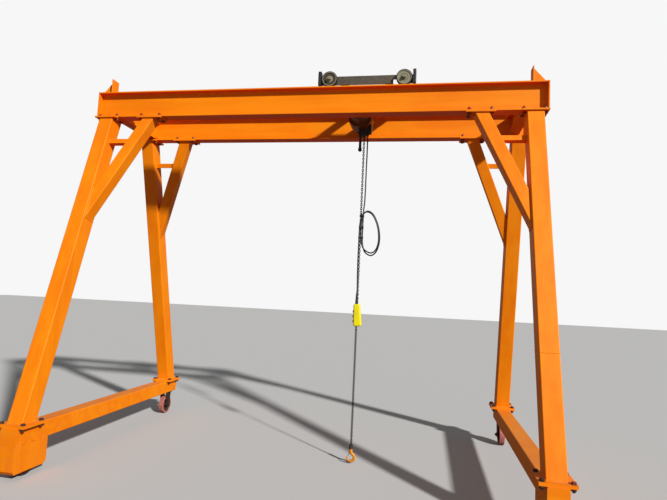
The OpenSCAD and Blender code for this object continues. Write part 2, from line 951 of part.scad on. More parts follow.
girder(front);  // front_girder
girder(rear);  // rear_girder
cross_beam(left);  // left_cross_beam
cross_beam(right);  // right_cross_beam
leg(left, front);  // left_front_leg
leg(left, rear);  // left_rear_leg
leg(right, front);  // right_front_leg
leg(right, rear);  // right_rear_leg
brace(left, front);  // left_front_brace
brace(left, rear);  // left_rear_brace
brace(right, front);  // right_front_brace
brace(right, rear);  // right_rear_brace
struts(left);  // left_struts
struts(right);  // right_struts
end_stops(left);  // left_end_stops
end_stops(right);  // right_end_stops
end_beam(left);  // left_end_beam
end_beam(right);  // right_end_beam
front_foot(left);  // left_front_foot
front_foot(right);  // right_front_foot
front_wheel(left);  // left_front_wheel
front_wheel(right);  // right_front_wheel
wheel_fork(left);  // left_wheel_fork
wheel_fork(right);  // right_wheel_fork
rear_tyre(left);  // left_rear_tyre
rear_hub(left);  // left_rear_hub
rear_tyre(right);  // right_rear_tyre
rear_hub(right);  // right_rear_hub
trolley_plate(front);  // front_trolley_plate
trolley_plate(rear);  // rear_trolley_plate
trolley_cross_tubes();
buffers(left);  // left_buffers
buffers(right);  // right_buffers
roller(left, front);  // front_left_roller
roller(right, front);  // front_right_roller
roller(left, rear);  // rear_left_roller
roller(right, rear);  // rear_right_roller
hoist_hanger();
hoist_gear_case();
hoist_motor();
hoist_brake_cover();
chain_guide();
chain_tail_stop();
chain_links(0);  // chain_face_links
chain_links(1);  // chain_edge_links
chain_coupling();
cable_outlet();
pendant_cable();
pendant_gland();
pendant_body();
pendant_buttons();
hook();
hook_latch();
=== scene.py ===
"""Gantry crane on splayed box legs with a chain hoist, dressed for rendering."""
import json
import math

import bpy
import numpy as np
from mathutils import Matrix, Vector


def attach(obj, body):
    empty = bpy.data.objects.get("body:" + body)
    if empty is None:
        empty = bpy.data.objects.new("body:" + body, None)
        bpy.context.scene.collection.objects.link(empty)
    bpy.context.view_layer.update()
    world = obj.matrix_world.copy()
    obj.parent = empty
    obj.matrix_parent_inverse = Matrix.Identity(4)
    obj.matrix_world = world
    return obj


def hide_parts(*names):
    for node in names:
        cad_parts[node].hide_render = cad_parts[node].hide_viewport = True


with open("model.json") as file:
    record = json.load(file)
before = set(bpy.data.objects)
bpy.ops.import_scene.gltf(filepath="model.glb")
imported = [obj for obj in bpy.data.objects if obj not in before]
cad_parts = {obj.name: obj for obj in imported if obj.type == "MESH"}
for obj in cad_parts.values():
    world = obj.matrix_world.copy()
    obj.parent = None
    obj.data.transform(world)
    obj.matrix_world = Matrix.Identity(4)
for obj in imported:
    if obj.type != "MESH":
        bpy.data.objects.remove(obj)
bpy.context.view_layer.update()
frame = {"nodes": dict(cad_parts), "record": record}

# The photographer's view: standing near the right front leg, eye height, a wide lens tipped
# up a little and rolled to the right.
CAMERA_AT = (1.127, -4.809, 1.546)
CAMERA_YAW, CAMERA_PITCH, CAMERA_ROLL = (math.radians(a) for a in (-10.37, 5.069, 2.729))
LENS_MM = 27.35
SENSOR_MM = 36.0


def view_matrix(at, yaw, pitch, roll):
    """Forward is turned by yaw from +Y and raised by pitch; right and up are rolled round it."""
    forward = Vector((math.sin(yaw) * math.cos(pitch), math.cos(yaw) * math.cos(pitch),
        math.sin(pitch)))
    level = Vector((math.cos(yaw), -math.sin(yaw), 0.0))
    upright = level.cross(forward)
    right = math.cos(roll) * level + math.sin(roll) * upright
    up = -math.sin(roll) * level + math.cos(roll) * upright
    turned = Matrix((right, up, -forward)).transposed().to_4x4()
    return Matrix.Translation(at) @ turned


camera = bpy.data.objects.new("camera", bpy.data.cameras.new("camera"))
camera.data.lens = LENS_MM
camera.data.sensor_width = SENSOR_MM
camera.data.sensor_fit = "HORIZONTAL"
camera.matrix_world = view_matrix(CAMERA_AT, CAMERA_YAW, CAMERA_PITCH, CAMERA_ROLL)
bpy.context.scene.collection.objects.link(camera)
bpy.context.scene.camera = camera

# The studio: a pale floor, a soft key lamp from the right front at the height of a morning
# sun, and an even white surround. The floor gives back less light than the camera sees of
# it, so that undersides stay as dark as they are out of doors.
KEY_FROM = Vector((1.35, -1.25, 1.0))
KEY_STRENGTH = 4.3
KEY_SOFTNESS = math.radians(3)
SURROUND_COLOUR, SURROUND_STRENGTH = (0.93, 0.96, 1.0), 0.17
REFLECTED_STRENGTH = 0.16
SEEN_COLOUR, SEEN_STRENGTH = (1.0, 1.0, 1.0), 0.93
FLOOR_HALF = 40.0
FLOOR_COLOUR = (0.60, 0.59, 0.57)
FLOOR_BOUNCE = (0.21, 0.13, 0.09)
FLOOR_ROUGHNESS = 0.9


def link(source, target):
    """Links two sockets of one tree."""
    source.id_data.links.new(source, target)


def add(kind, inputs=None, tree=None, **settings):
    """Adds a node to a tree, or else to the tree of a socket among its inputs; inputs are
    sockets or values (a colour is three numbers), settings are the node's own."""
    inputs = inputs or {}
    linked = [name for name, value in inputs.items() if isinstance(value, bpy.types.NodeSocket)]
    made = (tree or inputs[linked[0]].id_data).nodes.new(kind)
    for name, value in settings.items():
        setattr(made, name, value)
    for name, value in inputs.items():
        socket = made.inputs[name]
        if name in linked:
            link(value, socket)
        else:
            socket.default_value = (*value, 1.0) if socket.type == "RGBA" else value
    return made


def math_node(operation, a, b=0.0, c=0.0, clamp=False):
    """One step of arithmetic on values or sockets."""
    inputs = {0: a, 1: b, 2: c}
    return add("ShaderNodeMath", inputs, operation=operation, use_clamp=clamp).outputs[0]


def blend(factor, a, b):
    """Mixes colour a into b by a mask; a mix node keeps its colours in sockets 6, 7 and 2."""
    return add("ShaderNodeMix", {0: factor, 6: a, 7: b}, data_type="RGBA").outputs[2]


def piece(name, part, material, smooth=True):
    """A mesh object at the origin from a part: its points and its lists of corner numbers."""
    verts, faces = part
    mesh = bpy.data.meshes.new(name)
    mesh.from_pydata(np.asarray(verts, float).reshape(-1, 3).tolist(), [],
        [list(map(int, f)) for f in faces])
    mesh.polygons.foreach_set("use_smooth", [smooth] * len(mesh.polygons))
    mesh.materials.append(material)
    mesh.update()
    made = bpy.data.objects.new(name, mesh)
    bpy.context.scene.collection.objects.link(made)
    return made


floor_material = bpy.data.materials.new("studio_floor")
floor_material.use_nodes = True
floor_rays = add("ShaderNodeLightPath", tree=floor_material.node_tree).outputs["Is Camera Ray"]
floor_shader = floor_material.node_tree.nodes["Principled BSDF"]
floor_shader.inputs["Roughness"].default_value = FLOOR_ROUGHNESS
link(blend(floor_rays, FLOOR_BOUNCE, FLOOR_COLOUR), floor_shader.inputs["Base Color"])
floor_corners = [(x, y, 0) for x, y in ((-1, -1), (1, -1), (1, 1), (-1, 1))]
floor = piece("studio_floor", (FLOOR_HALF * np.array(floor_corners), [(0, 1, 2, 3)]),
    floor_material, smooth=False)

key = bpy.data.objects.new("key_lamp", bpy.data.lights.new("key_lamp", "SUN"))
key.data.energy = KEY_STRENGTH
key.data.angle = KEY_SOFTNESS
key.matrix_world = KEY_FROM.to_track_quat("Z", "Y").to_matrix().to_4x4()
bpy.context.scene.collection.objects.link(key)

world = bpy.data.worlds.new("surround")
bpy.context.scene.world = world
world.use_nodes = True
world.node_tree.nodes.clear()
rays = add("ShaderNodeLightPath", tree=world.node_tree).outputs
seen = math_node("MULTIPLY", rays["Is Glossy Ray"], REFLECTED_STRENGTH / SEEN_STRENGTH)
seen = math_node("MAXIMUM", rays["Is Camera Ray"], seen)
seen = math_node("MAXIMUM", seen, rays["Is Transmission Ray"])
lit = add("ShaderNodeBackground", {"Color": SURROUND_COLOUR, "Strength": SURROUND_STRENGTH},
    world.node_tree)
shown = add("ShaderNodeBackground", {"Color": SEEN_COLOUR, "Strength": SEEN_STRENGTH},
    world.node_tree)
either = add("ShaderNodeMixShader", {0: seen, 1: lit.outputs[0], 2: shown.outputs[0]})
add("ShaderNodeOutputWorld", {"Surface": either.outputs[0]})
bpy.context.scene.view_settings.view_transform = "Standard"

# The pendant cable: a round black rubber cable that drops from the hoist's outlet, makes two
# turns of spare length beside the chain and runs on down through the gland to the terminals
# inside the pendant.
CABLE_D, CABLE_SIDES = 0.013, 16
CABLE_ROUTE = 0.001 * np.array([
    (534, 0, 3105), (534, 0, 3060), (534, 0, 2900), (533, 0, 2740), (533, 0, 2580),
    (531, 0, 2460), (526, -6, 2380), (524, -9, 2290), (523, -9, 2190), (523, -9, 2100),
    (530, -9, 2030), (556, -9, 1965), (610, -10, 1937), (656, -12, 1967), (682, -14, 2030),
    (690, -16, 2100), (680, -18, 2190), (655, -20, 2270), (618, -22, 2335), (568, -24, 2362),
    (526, -25, 2330), (512, -25, 2260), (510, -25, 2170), (513, -25, 2080), (534, -25, 2010),
    (574, -26, 1972), (622, -28, 1962), (662, -30, 1998), (682, -33, 2076), (676, -36, 2176),
    (650, -39, 2266), (608, -41, 2332), (554, -42, 2350), (512, -42, 2304), (498, -42, 2210),
    (496, -42, 2060), (495, -42, 1890), (497, -42, 1740), (500, -42, 1640), (500, -42, 1580)])
INSIDE_PENDANT = 0.001 * np.array([
    (500, -42, 1520), (502, -42, 1460), (506, -42, 1400), (510, -42, 1345)])
DUST_COLOUR = (0.42, 0.35, 0.26)
SPLASH_COLOUR = (0.20, 0.15, 0.10)
CHIP_EDGE, CHIP_SPREAD = 0.82, 0.24


def smooth_route(points, steps):
    """Catmull-Rom curve through the points: a cubic between each pair, its slope at a point
    half the step from the point before to the point after."""
    padded = np.vstack([points[:1], points, points[-1:]])
    a, b, c, d = (padded[i:len(points) - 1 + i, None] for i in range(4))
    t = (np.arange(steps) / steps)[None, :, None]
    curve = 0.5 * (2 * b + (c - a) * t + (2 * a - 5 * b + 4 * c - d) * t**2
        + (3 * b - a - 3 * c + d) * t**3)
    return np.vstack([curve.reshape(-1, 3), points[-1:]])


def unit(vectors):
    """Each vector at length 1."""
    return vectors / np.linalg.norm(vectors, axis=1, keepdims=True)


def swept(path, across, outline, closed=False):
    """Carries an outline along a path: its x runs square to the path and to the direction
    across, its y square to both. It is (n, 2), or (len(path), n, 2) where it changes."""
    round_trip = np.roll(path, -1, axis=0) - np.roll(path, 1, axis=0)
    along = unit(round_trip if closed else np.gradient(path, axis=0))
    u = unit(np.cross(np.broadcast_to(across, path.shape), along))
    v = np.cross(along, u)
    shape = np.broadcast_to(outline, (len(path),) + np.shape(outline)[-2:])
    return path[:, None] + shape[..., :1] * u[:, None] + shape[..., 1:] * v[:, None]


def grid_faces(rows, cols, wrap_rows=False):
    """Quads of a grid whose columns close round; unless its rows do too, both ends get a face."""
    i, k = np.meshgrid(np.arange(rows if wrap_rows else rows - 1), np.arange(cols), indexing="ij")
    i, k = i.ravel(), k.ravel()
    after, beside = (i + 1) % rows, (k + 1) % cols
    faces = columns(i * cols + k, i * cols + beside, after * cols + beside,
        after * cols + k).tolist()
    if not wrap_rows:
        faces.append(np.arange(cols)[::-1].tolist())
        faces.append(((rows - 1) * cols + np.arange(cols)).tolist())
    return faces


def columns(*numbers):
    """Points from their coordinates, each one number or a row of numbers."""
    return np.stack(np.broadcast_arrays(*numbers), axis=1)


def turns(first, last, count):
    """Angles at equal steps from first to last, in degrees, as radians."""
    return np.radians(np.linspace(first, last, count))


def circle(radius, sides):
    """Points of a circle, by cosine and sine."""
    turn = 2 * np.pi * np.arange(sides) / sides
    return radius * columns(np.cos(turn), np.sin(turn))


def tube(path, across, radius, sides, closed=False):
    """A round bar along a path."""
    rings = swept(path, across, circle(radius, sides), closed)
    return rings, grid_faces(len(path), sides, closed)


def group(name, values, masks):
    """A shader node group that reads coordinates and named values and puts out masks; returns
    its tree, its entry's sockets and its exit's sockets."""
    tree = bpy.data.node_groups.new(name, "ShaderNodeTree")
    new = tree.interface.new_socket
    new("Vector", in_out="INPUT", socket_type="NodeSocketVector")
    for label, value in values.items():
        new(label, in_out="INPUT", socket_type="NodeSocketFloat").default_value = value
    for label in masks:
        new(label, in_out="OUTPUT", socket_type="NodeSocketFloat")
    entry, result = (add("NodeGroup" + way, tree=tree) for way in ("Input", "Output"))
    return tree, entry.outputs, result.inputs


def times(a, b, clamp=False):
    """The product of two values."""
    return math_node("MULTIPLY", a, b, clamp=clamp)


def linear(value, factor, offset, clamp=False):
    """The value times a factor, plus an offset."""
    return math_node("MULTIPLY_ADD", value, factor, offset, clamp)


def noise(where, scale, detail=3.0, roughness=0.55):
    """A noise value from 0 to 1; scale is in waves to the metre."""
    inputs = {"Vector": where, "Scale": scale, "Detail": detail, "Roughness": roughness}
    return add("ShaderNodeTexNoise", inputs).outputs["Fac"]


def steps(value, low, high):
    """Rises smoothly from 0 to 1 as the value goes from low to high."""
    inputs = {"Value": value, "From Min": low, "From Max": high}
    made = add("ShaderNodeMapRange", inputs, interpolation_type="SMOOTHSTEP")
    return made.outputs["Result"]


def height_of(vector):
    """The Z of a vector."""
    return add("ShaderNodeSeparateXYZ", {0: vector}).outputs["Z"]


# Dust that settles on upward faces and a splash of dirt low down, shared by the enamels,
# metals and rubbers. The dust is the face's upward turn times a noise, and the splashes are
# a finer noise that fades out from the floor to the splash height.
dust_group, entry, result = group(
    "settled_dust", {"Amount": 0.5, "Splash Height": 0.5}, ("Dust", "Splash"))
facing = height_of(add("ShaderNodeTexCoord", tree=dust_group).outputs["Normal"])
patches = noise(entry["Vector"], 9.0, 5.0)
layer = times(steps(facing, 0.3, 0.95), steps(patches, 0.25, 0.75))
layer = times(layer, entry["Amount"], clamp=True)
low_down = math_node("DIVIDE", height_of(entry["Vector"]), entry["Splash Height"])
low_down = math_node("SUBTRACT", 1.0, low_down, clamp=True)
splashes = steps(noise(entry["Vector"], 22.0, 6.0, 0.65), 0.42, 0.7)
splashes = times(low_down, splashes)
splashes = times(splashes, entry["Amount"], clamp=True)
link(layer, result["Dust"])
link(splashes, result["Splash"])

# Chips in a coating: small sharp-edged flecks in loose clusters, sunk below its surface. A
# fine noise is cut at a limit, which is lower where a coarse noise makes a cluster.
chip_group, entry, result = group("paint_chips", {"Size": 90.0, "Share": 0.5}, ("Chips", "Height"))
flecks = noise(entry["Vector"], entry["Size"], 4.0, 0.7)
clusters = steps(noise(entry["Vector"], 4.5, 2.0), 0.5, 0.7)
spread = times(clusters, times(entry["Share"], CHIP_SPREAD))
inside = math_node("SUBTRACT", CHIP_EDGE, spread)
inside = math_node("SUBTRACT", flecks, inside)
chip_mask = steps(inside, 0.0, 0.012)
link(chip_mask, result["Chips"])
link(times(chip_mask, -1.0), result["Height"])


def use_group(tree, *inputs):
    """A group's masks in a material, from the coordinates and the material's own values."""
    return add("ShaderNodeGroup", dict(enumerate(inputs)), node_tree=tree).outputs


def new_material(name, metallic=0.0, **constants):
    """A material with its shader and the Object coordinates that its patterns read."""
    made = bpy.data.materials.new(name)
    made.use_nodes = True
    shader = made.node_tree.nodes["Principled BSDF"]
    shader.inputs["Metallic"].default_value = metallic
    for label, value in constants.items():
        shader.inputs[label.replace("_", " ")].default_value = value
    where = add("ShaderNodeTexCoord", tree=made.node_tree).outputs["Object"]
    return made, shader, where


def finish(shader, colour, roughness, height, strength, distance):
    """Links a colour, a roughness and a bump height to the shader."""
    inputs = {"Height": height, "Strength": strength, "Distance": distance}
    link(colour, shader.inputs["Base Color"])
    link(roughness, shader.inputs["Roughness"])
    link(add("ShaderNodeBump", inputs).outputs["Normal"], shader.inputs["Normal"])


def rubber(name, colour, dull=0.55):
    """Matte moulded rubber: a faint grain, a lighter tone and dust in patches."""
    made, shader, where = new_material(name)
    grain = noise(where, 420.0, 2.0)
    patches = noise(where, 30.0, 4.0)
    dust = use_group(dust_group, where, 0.3, 0.3)
    lighter = tuple(c * 1.6 + 0.004 for c in colour)
    tone = blend(steps(patches, 0.35, 0.8), colour, lighter)
    tone = blend(dust["Dust"], tone, DUST_COLOUR)
    finish(shader, tone, linear(patches, 0.3, dull - 0.12), grain, 0.25, 0.0006)
    return made


cable_path = smooth_route(np.vstack([CABLE_ROUTE, INSIDE_PENDANT]), 6)
cable = piece("pendant_cable_rubber", tube(cable_path, (0, 1, 0), CABLE_D / 2, CABLE_SIDES),
    rubber("cable_rubber", (0.012, 0.012, 0.014), 0.45))
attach(cable, "trolley")
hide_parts("pendant_cable")

# Girders, cross beams, legs, braces, struts, stops, end beams and wheel housings: rolled and
# welded mild steel under one coat of bright orange enamel, sprayed on after the welding.
ORANGE = (0.93, 0.26, 0.002)
ORANGE_DEEP = (0.86, 0.20, 0.001)
# The deeper red of undersides is painted shade.
ORANGE_PAINTED_SHADE = (0.80, 0.10, 0.002)
RUST = (0.13, 0.038, 0.014)
FRAME_NODES = [name for name in frame["record"]["behaviour"]["bodies"]["frame"]
    if not name.endswith(("_wheel", "_fork"))]


def stretched(where, scale):
    """The coordinates with each axis scaled, so that a pattern runs in streaks."""
    return add("ShaderNodeMapping", {"Vector": where, "Scale": scale}).outputs["Vector"]


def weathered(colour, dust, chips):
    """Dust, then splashes, then chips down to rust over a colour."""
    colour = blend(dust["Dust"], colour, DUST_COLOUR)
    colour = blend(dust["Splash"], colour, SPLASH_COLOUR)
    return blend(chips["Chips"], colour, RUST)


def orange_enamel(name, streak_scale):
    """Semi-gloss enamel: soft changes of tone, painted shade in a deeper red on undersides, an
    orange-peel skin, dust, splashes and chips."""
    made, shader, where = new_material(name, Specular_IOR_Level=0.2)
    tone = noise(where, 1.7, 4.0)
    streaks = noise(stretched(where, streak_scale), 1.0, 4.0)
    peel = noise(where, 260.0, 2.0)
    dust = use_group(dust_group, where, 0.12, 0.8)
    chips = use_group(chip_group, where, 75.0, 0.35)
    mottled = linear(streaks, 0.5, times(tone, 0.5))
    colour = blend(steps(mottled, 0.35, 0.62), ORANGE_DEEP, ORANGE)
    facing = height_of(where.node.outputs["Normal"])
    # Downward-facing faces get the deeper red as painted shade.
    colour = blend(steps(facing, -0.5, -0.9), colour, ORANGE_PAINTED_SHADE)
    rough = linear(dust["Dust"], 0.4, linear(streaks, 0.25, 0.33))
    rough = linear(chips["Chips"], 0.35, rough, clamp=True)
    skin = linear(peel, 0.22, chips["Height"])
    finish(shader, weathered(colour, dust, chips), rough, skin, 0.35, 0.0012)
    return made


def repaint(material, *node_names):
    """Gives the objects of CAD nodes one material in all their slots."""
    for name in node_names:
        slots = frame["nodes"][name].data.materials
        if not slots:
            slots.append(material)
        for i in range(len(slots)):
            slots[i] = material


girder_enamel = orange_enamel("orange_enamel_girders", (1.2, 16.0, 16.0))
frame_enamel = orange_enamel("orange_enamel_legs", (13.0, 13.0, 1.4))
for name in FRAME_NODES:
    repaint(girder_enamel if "girder" in name or "beam" in name else frame_enamel, name)

# Buffers, chain guide and coupling: moulded rubber, folded plate and a forging, under one
# thin coat of black paint that is dusty and chipped.
black_paint, shader, where = new_material("black_paint")
dust = use_group(dust_group, where, 0.25, 0.35)
chips = use_group(chip_group, where, 120.0, 0.9)
tone = blend(noise(where, 14.0), (0.012, 0.012, 0.014), (0.035, 0.034, 0.034))
rough = linear(noise(where, 40.0), 0.3, 0.3)
finish(shader, weathered(tone, dust, chips), rough, chips["Height"], 0.4, 0.0008)
repaint(black_paint, "left_buffers", "right_buffers", "chain_guide", "chain_coupling")

# Trolley plates, tubes and hanger in bare hot-rolled steel, the open wheels' hubs and forks in
# cast iron, and the chain's links in blackened steel, oiled.
SHINE = 0.85


def bare_metal(name, dark, light, rust_share, rough, dusty=0.4):
    """Unpainted steel or iron: mill scale and grease in patches, a film of rust."""
    made, shader, where = new_material(name, metallic=SHINE)
    patches = noise(where, 40.0, 5.0)
    fine = noise(where, 300.0, 3.0)
    rusty = steps(noise(where, 26.0, 6.0, 0.7), 0.62 - 0.3 * rust_share, 0.78)
    dust = use_group(dust_group, where, dusty, 0.3)
    colour = blend(patches, dark, light)
    colour = blend(rusty, colour, RUST)
    colour = blend(dust["Dust"], colour, DUST_COLOUR)
    shine = linear(rusty, -0.6, SHINE, clamp=True)
    link(shine, shader.inputs["Metallic"])
    dull = linear(rusty, 0.3, linear(patches, 0.25, rough - 0.12), clamp=True)
    finish(shader, colour, dull, linear(fine, 0.5, rusty), 0.25, 0.0006)
    return made


trolley_steel = bare_metal("trolley_steel", (0.10, 0.085, 0.065), (0.22, 0.19, 0.15), 0.35, 0.5)
cast_iron = bare_metal("wheel_iron", (0.05, 0.035, 0.028), (0.13, 0.09, 0.07), 0.5, 0.6)
chain_black = bare_metal("chain_steel", (0.006, 0.006, 0.007), (0.022, 0.021, 0.022),
    0.02, 0.42, 0.02)
repaint(trolley_steel, "front_trolley_plate", "rear_trolley_plate", "trolley_cross_tubes",
    "hoist_hanger", "hook_latch")
repaint(cast_iron, "left_front_wheel", "right_front_wheel", "left_rear_hub", "right_rear_hub",
    "left_wheel_fork", "right_wheel_fork")
repaint(chain_black, "chain_face_links", "chain_edge_links")

# Trolley wheels: turned steel with fine rings from the lathe, a face, and a band between the
# hub and the tread: the left pair with a bright face and a dark band, the right pair with a
# dimmer face and a light band.
TROLLEY_X, HALF_BASE, ROLLER_Z = 0.55, 0.34, 3.5123
RING_WAVES = 2600.0
DARK_RIM_TONE = (0.022, 0.02, 0.017)


def roller_finish(name, x, face, band):
    """Distances are measured from the axle at x in the rollers' plane: the hub ends at 32 mm
    in a dark ring, the band at 60 mm, and the dark rim starts at 64 mm."""
    made, shader, where = new_material(name, metallic=0.35)
    flat = add("ShaderNodeVectorMath", {0: where, 1: (1.0, 0.0, 1.0)}, operation="MULTIPLY")
    away = {0: flat.outputs["Vector"], 1: (x, 0.0, ROLLER_Z)}
    radius = add("ShaderNodeVectorMath", away, operation="DISTANCE").outputs["Value"]
    patches = noise(where, 55.0, 5.0)
    rings = math_node("SINE", times(radius, RING_WAVES))
    outside_hub = times(steps(radius, 0.031, 0.033), steps(radius, 0.061, 0.058))
    groove = steps(math_node("COMPARE", radius, 0.0325, 0.0016), 0.2, 0.8)
    rim = math_node("MAXIMUM", steps(radius, 0.0635, 0.0655), groove)
    colour = blend(patches, tuple(0.6 * c for c in face), face)
    colour = blend(outside_hub, colour, band)
    colour = blend(rim, colour, DARK_RIM_TONE)
    colour = blend(steps(patches, 0.6, 0.75), colour, RUST)
    rough = linear(patches, 0.3, 0.35)
    finish(shader, colour, rough, linear(rings, 0.2, patches), 0.3, 0.0005)
    return made


left_roller = roller_finish("left_roller_steel", TROLLEY_X - HALF_BASE,
    (0.5, 0.43, 0.28), (0.07, 0.06, 0.045))
right_roller = roller_finish("right_roller_steel", TROLLEY_X + HALF_BASE,
    (0.36, 0.34, 0.23), (0.30, 0.29, 0.19))
repaint(left_roller, "front_left_roller", "rear_left_roller")
repaint(right_roller, "front_right_roller", "rear_right_roller")

# Rear tyres: red polyurethane, cast round the iron wheel centres and gone pink with scuffs
# and dust.
tyre_red, shader, where = new_material("tyre_polyurethane")
dust = use_group(dust_group, where, 0.5, 0.3)
scuffs = noise(stretched(where, (160.0, 30.0, 30.0)), 1.0, 5.0)
scuffs = steps(scuffs, 0.45, 0.7)
tone = blend(scuffs, (0.38, 0.08, 0.068), (0.50, 0.19, 0.16))
tone = blend(dust["Splash"], tone, DUST_COLOUR)
finish(shader, tone, linear(scuffs, 0.25, 0.4), scuffs, 0.3, 0.0006)
repaint(tyre_red, "left_rear_tyre", "right_rear_tyre")

# Hoist housings: gear case, motor and brake cover of die-cast aluminium, under a hammered
# brown-orange enamel that holds dust on top. Its tone is darkened to a deep brown by painted
# shade.
hoist_enamel, shader, where = new_material("hoist_enamel")
dust = use_group(dust_group, where, 0.4, 0.3)
hammered = noise(where, 140.0, 2.0)
# Deep brown tones with painted shade in them.
tone = blend(noise(where, 7.0), (0.10, 0.028, 0.006), (0.2, 0.058, 0.012))
tone = blend(dust["Dust"], tone, DUST_COLOUR)
rough = linear(dust["Dust"], 0.4, 0.35)
finish(shader, tone, rough, hammered, 0.3, 0.0008)
repaint(hoist_enamel, "hoist_gear_case", "hoist_motor", "hoist_brake_cover")

# Cable outlet under the hoist and the stop on the chain's slack end: both moulded in black
# rubber, the stop pushed over the last links.
for name in ("cable_outlet", "chain_tail_stop"):
    repaint(rubber(name + "_rubber", (0.015, 0.015, 0.017)), name)

# Bolts of the bolted joints: black M20 hex bolts with washers and nuts, pushed up through the
# head plates and girder flanges and down through the base plates. The upper ones have been
# painted over, the lower ones in spots, in a dark red-brown that is the frame's orange with
# painted shade in it.
LEG_X, FOOT_Y, GIRDER_Y = 2.0, 1.154, 0.37
GIRDER_Z, GIRDER_TOP, HEAD_T = 3.186, 3.44, 0.014
BEAM_Z, BEAM_TOP, PLATE_T, FLANGE_T = 0.261, 0.398, 0.012, 0.011
BRACE_OUT = 0.446
BRACE_X = LEG_X - BRACE_OUT
HEAD_BOLTS, BRACE_BOLTS, FOOT_BOLTS = (0.09, 0.04), (0.095, 0.04), (0.096, 0.096)
HEX_R, HEAD_H, NUT_H, BOLT_R, WASHER_R, WASHER_T = 0.0173, 0.0125, 0.016, 0.010, 0.0185, 0.003
THREAD_L, HALF_PITCH = 0.009, 0.00125


def lathe(profile, sides):
    """Turns (radius, height) points round +Z, from the bottom up; six sides make a hexagon."""
    radii, heights = np.asarray(profile, float).T
    rings = circle(1.0, sides)[None] * radii[:, None, None]
    up = np.broadcast_to(heights[:, None, None], rings.shape[:2] + (1,))
    return np.concatenate([rings, up], axis=2).reshape(-1, 3), grid_faces(len(radii), sides)


def joined(parts):
    """Several (points, faces) as one."""
    verts, faces, first = [], [], 0
    for v, f in parts:
        verts.append(np.asarray(v).reshape(-1, 3))
        faces.extend([[i + first for i in face] for face in f])
        first += len(verts[-1])
    return np.vstack(verts), faces


def placed(part, origin, axis=(0, 0, 1), turn=0.0):
    """Turns a part round its +Z, leans +Z over to axis and moves it to origin."""
    verts, faces = part
    matrix = Vector(axis).to_track_quat("Z", "Y").to_matrix() @ Matrix.Rotation(turn, 3, "Z")
    return np.asarray(verts) @ np.array(matrix).T + np.asarray(origin, float), faces


def washer():
    """A flat ring with broken edges, its seat at height 0."""
    inner, low = WASHER_R - 0.001, 0.0008
    return lathe([(inner, 0), (WASHER_R, low), (WASHER_R, WASHER_T - low), (inner, WASHER_T)], 24)


def bolt_head():
    """Hexagon with a chamfered outer end on a washer, its seat at height 0."""
    top = WASHER_T + HEAD_H
    sides = [(HEX_R, WASHER_T), (HEX_R, top - 0.002), (HEX_R - 0.002, top)]
    return joined([washer(), lathe(sides, 6)])


def nut_and_thread():
    """Washer and nut, and the bolt's threaded end, its ridges two HALF_PITCH apart."""
    low, top, inner = WASHER_T, WASHER_T + NUT_H, HEX_R - 0.002
    ridges = [(BOLT_R - 0.0008 * (i % 2), top + HALF_PITCH * i)
        for i in range(int(THREAD_L / HALF_PITCH))]
    ridges.append((BOLT_R - 0.002, ridges[-1][1] + 0.0015))
    nut = [(inner, low), (HEX_R, low + 0.0015), (HEX_R, top - 0.0015), (inner, top)]
    return joined([washer(), lathe(nut, 6), lathe(ridges, 16)])


def bolts(places, low, high, nut_up):
    """A bolt at each (x, y): its head on one side and its nut on the other of the plates from
    low to high, both turned at random."""
    draw = np.random.default_rng(7)
    below, above = bolt_head(), nut_and_thread()
    if not nut_up:
        below, above = above, below
    parts = []
    for x, y in places:
        parts.append(placed(below, (x, y, low), (0, 0, -1), draw.uniform(0, 1)))
        parts.append(placed(above, (x, y, high), (0, 0, 1), draw.uniform(0, 1)))
    return parts


def bolt_places(x, y, spacing):
    """Four places round each of the crane's four joints of one sort."""
    return [(hand * x + spacing[0] * i, side * y + spacing[1] * j)
        for hand, side in ends for i, j in ends]


bolt_black, shader, where = new_material("bolt_black", metallic=0.5)
upper = steps(height_of(where), 2.5, 3.0)
painted = math_node("MAXIMUM", steps(noise(where, 16.0, 3.0), 0.55, 0.62), times(upper, 0.95))
rusty = steps(noise(where, 90.0, 5.0, 0.7), 0.5, 0.68)
tone = blend(rusty, (0.022, 0.020, 0.020), (0.10, 0.038, 0.02))
# The paint is a dark red-brown: the frame's orange with painted shade in it.
tone = blend(painted, tone, (0.27, 0.045, 0.006))
link(linear(painted, -0.3, 0.3, clamp=True), shader.inputs["Metallic"])
finish(shader, tone, linear(rusty, 0.25, 0.55), rusty, 0.3, 0.0005)

ends = [(hand, side) for hand in (-1, 1) for side in (-1, 1)]
head_bolts = bolt_places(LEG_X, GIRDER_Y, HEAD_BOLTS) + bolt_places(BRACE_X, GIRDER_Y, BRACE_BOLTS)
foot_bolts = bolt_places(LEG_X, FOOT_Y, FOOT_BOLTS)
frame_bolts = piece("frame_bolts", joined(
    bolts(head_bolts, GIRDER_Z - HEAD_T, GIRDER_Z + FLANGE_T, True)
    + bolts(foot_bolts, BEAM_TOP, BEAM_TOP + 2 * PLATE_T, False)), bolt_black, smooth=False)
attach(frame_bolts, "frame")

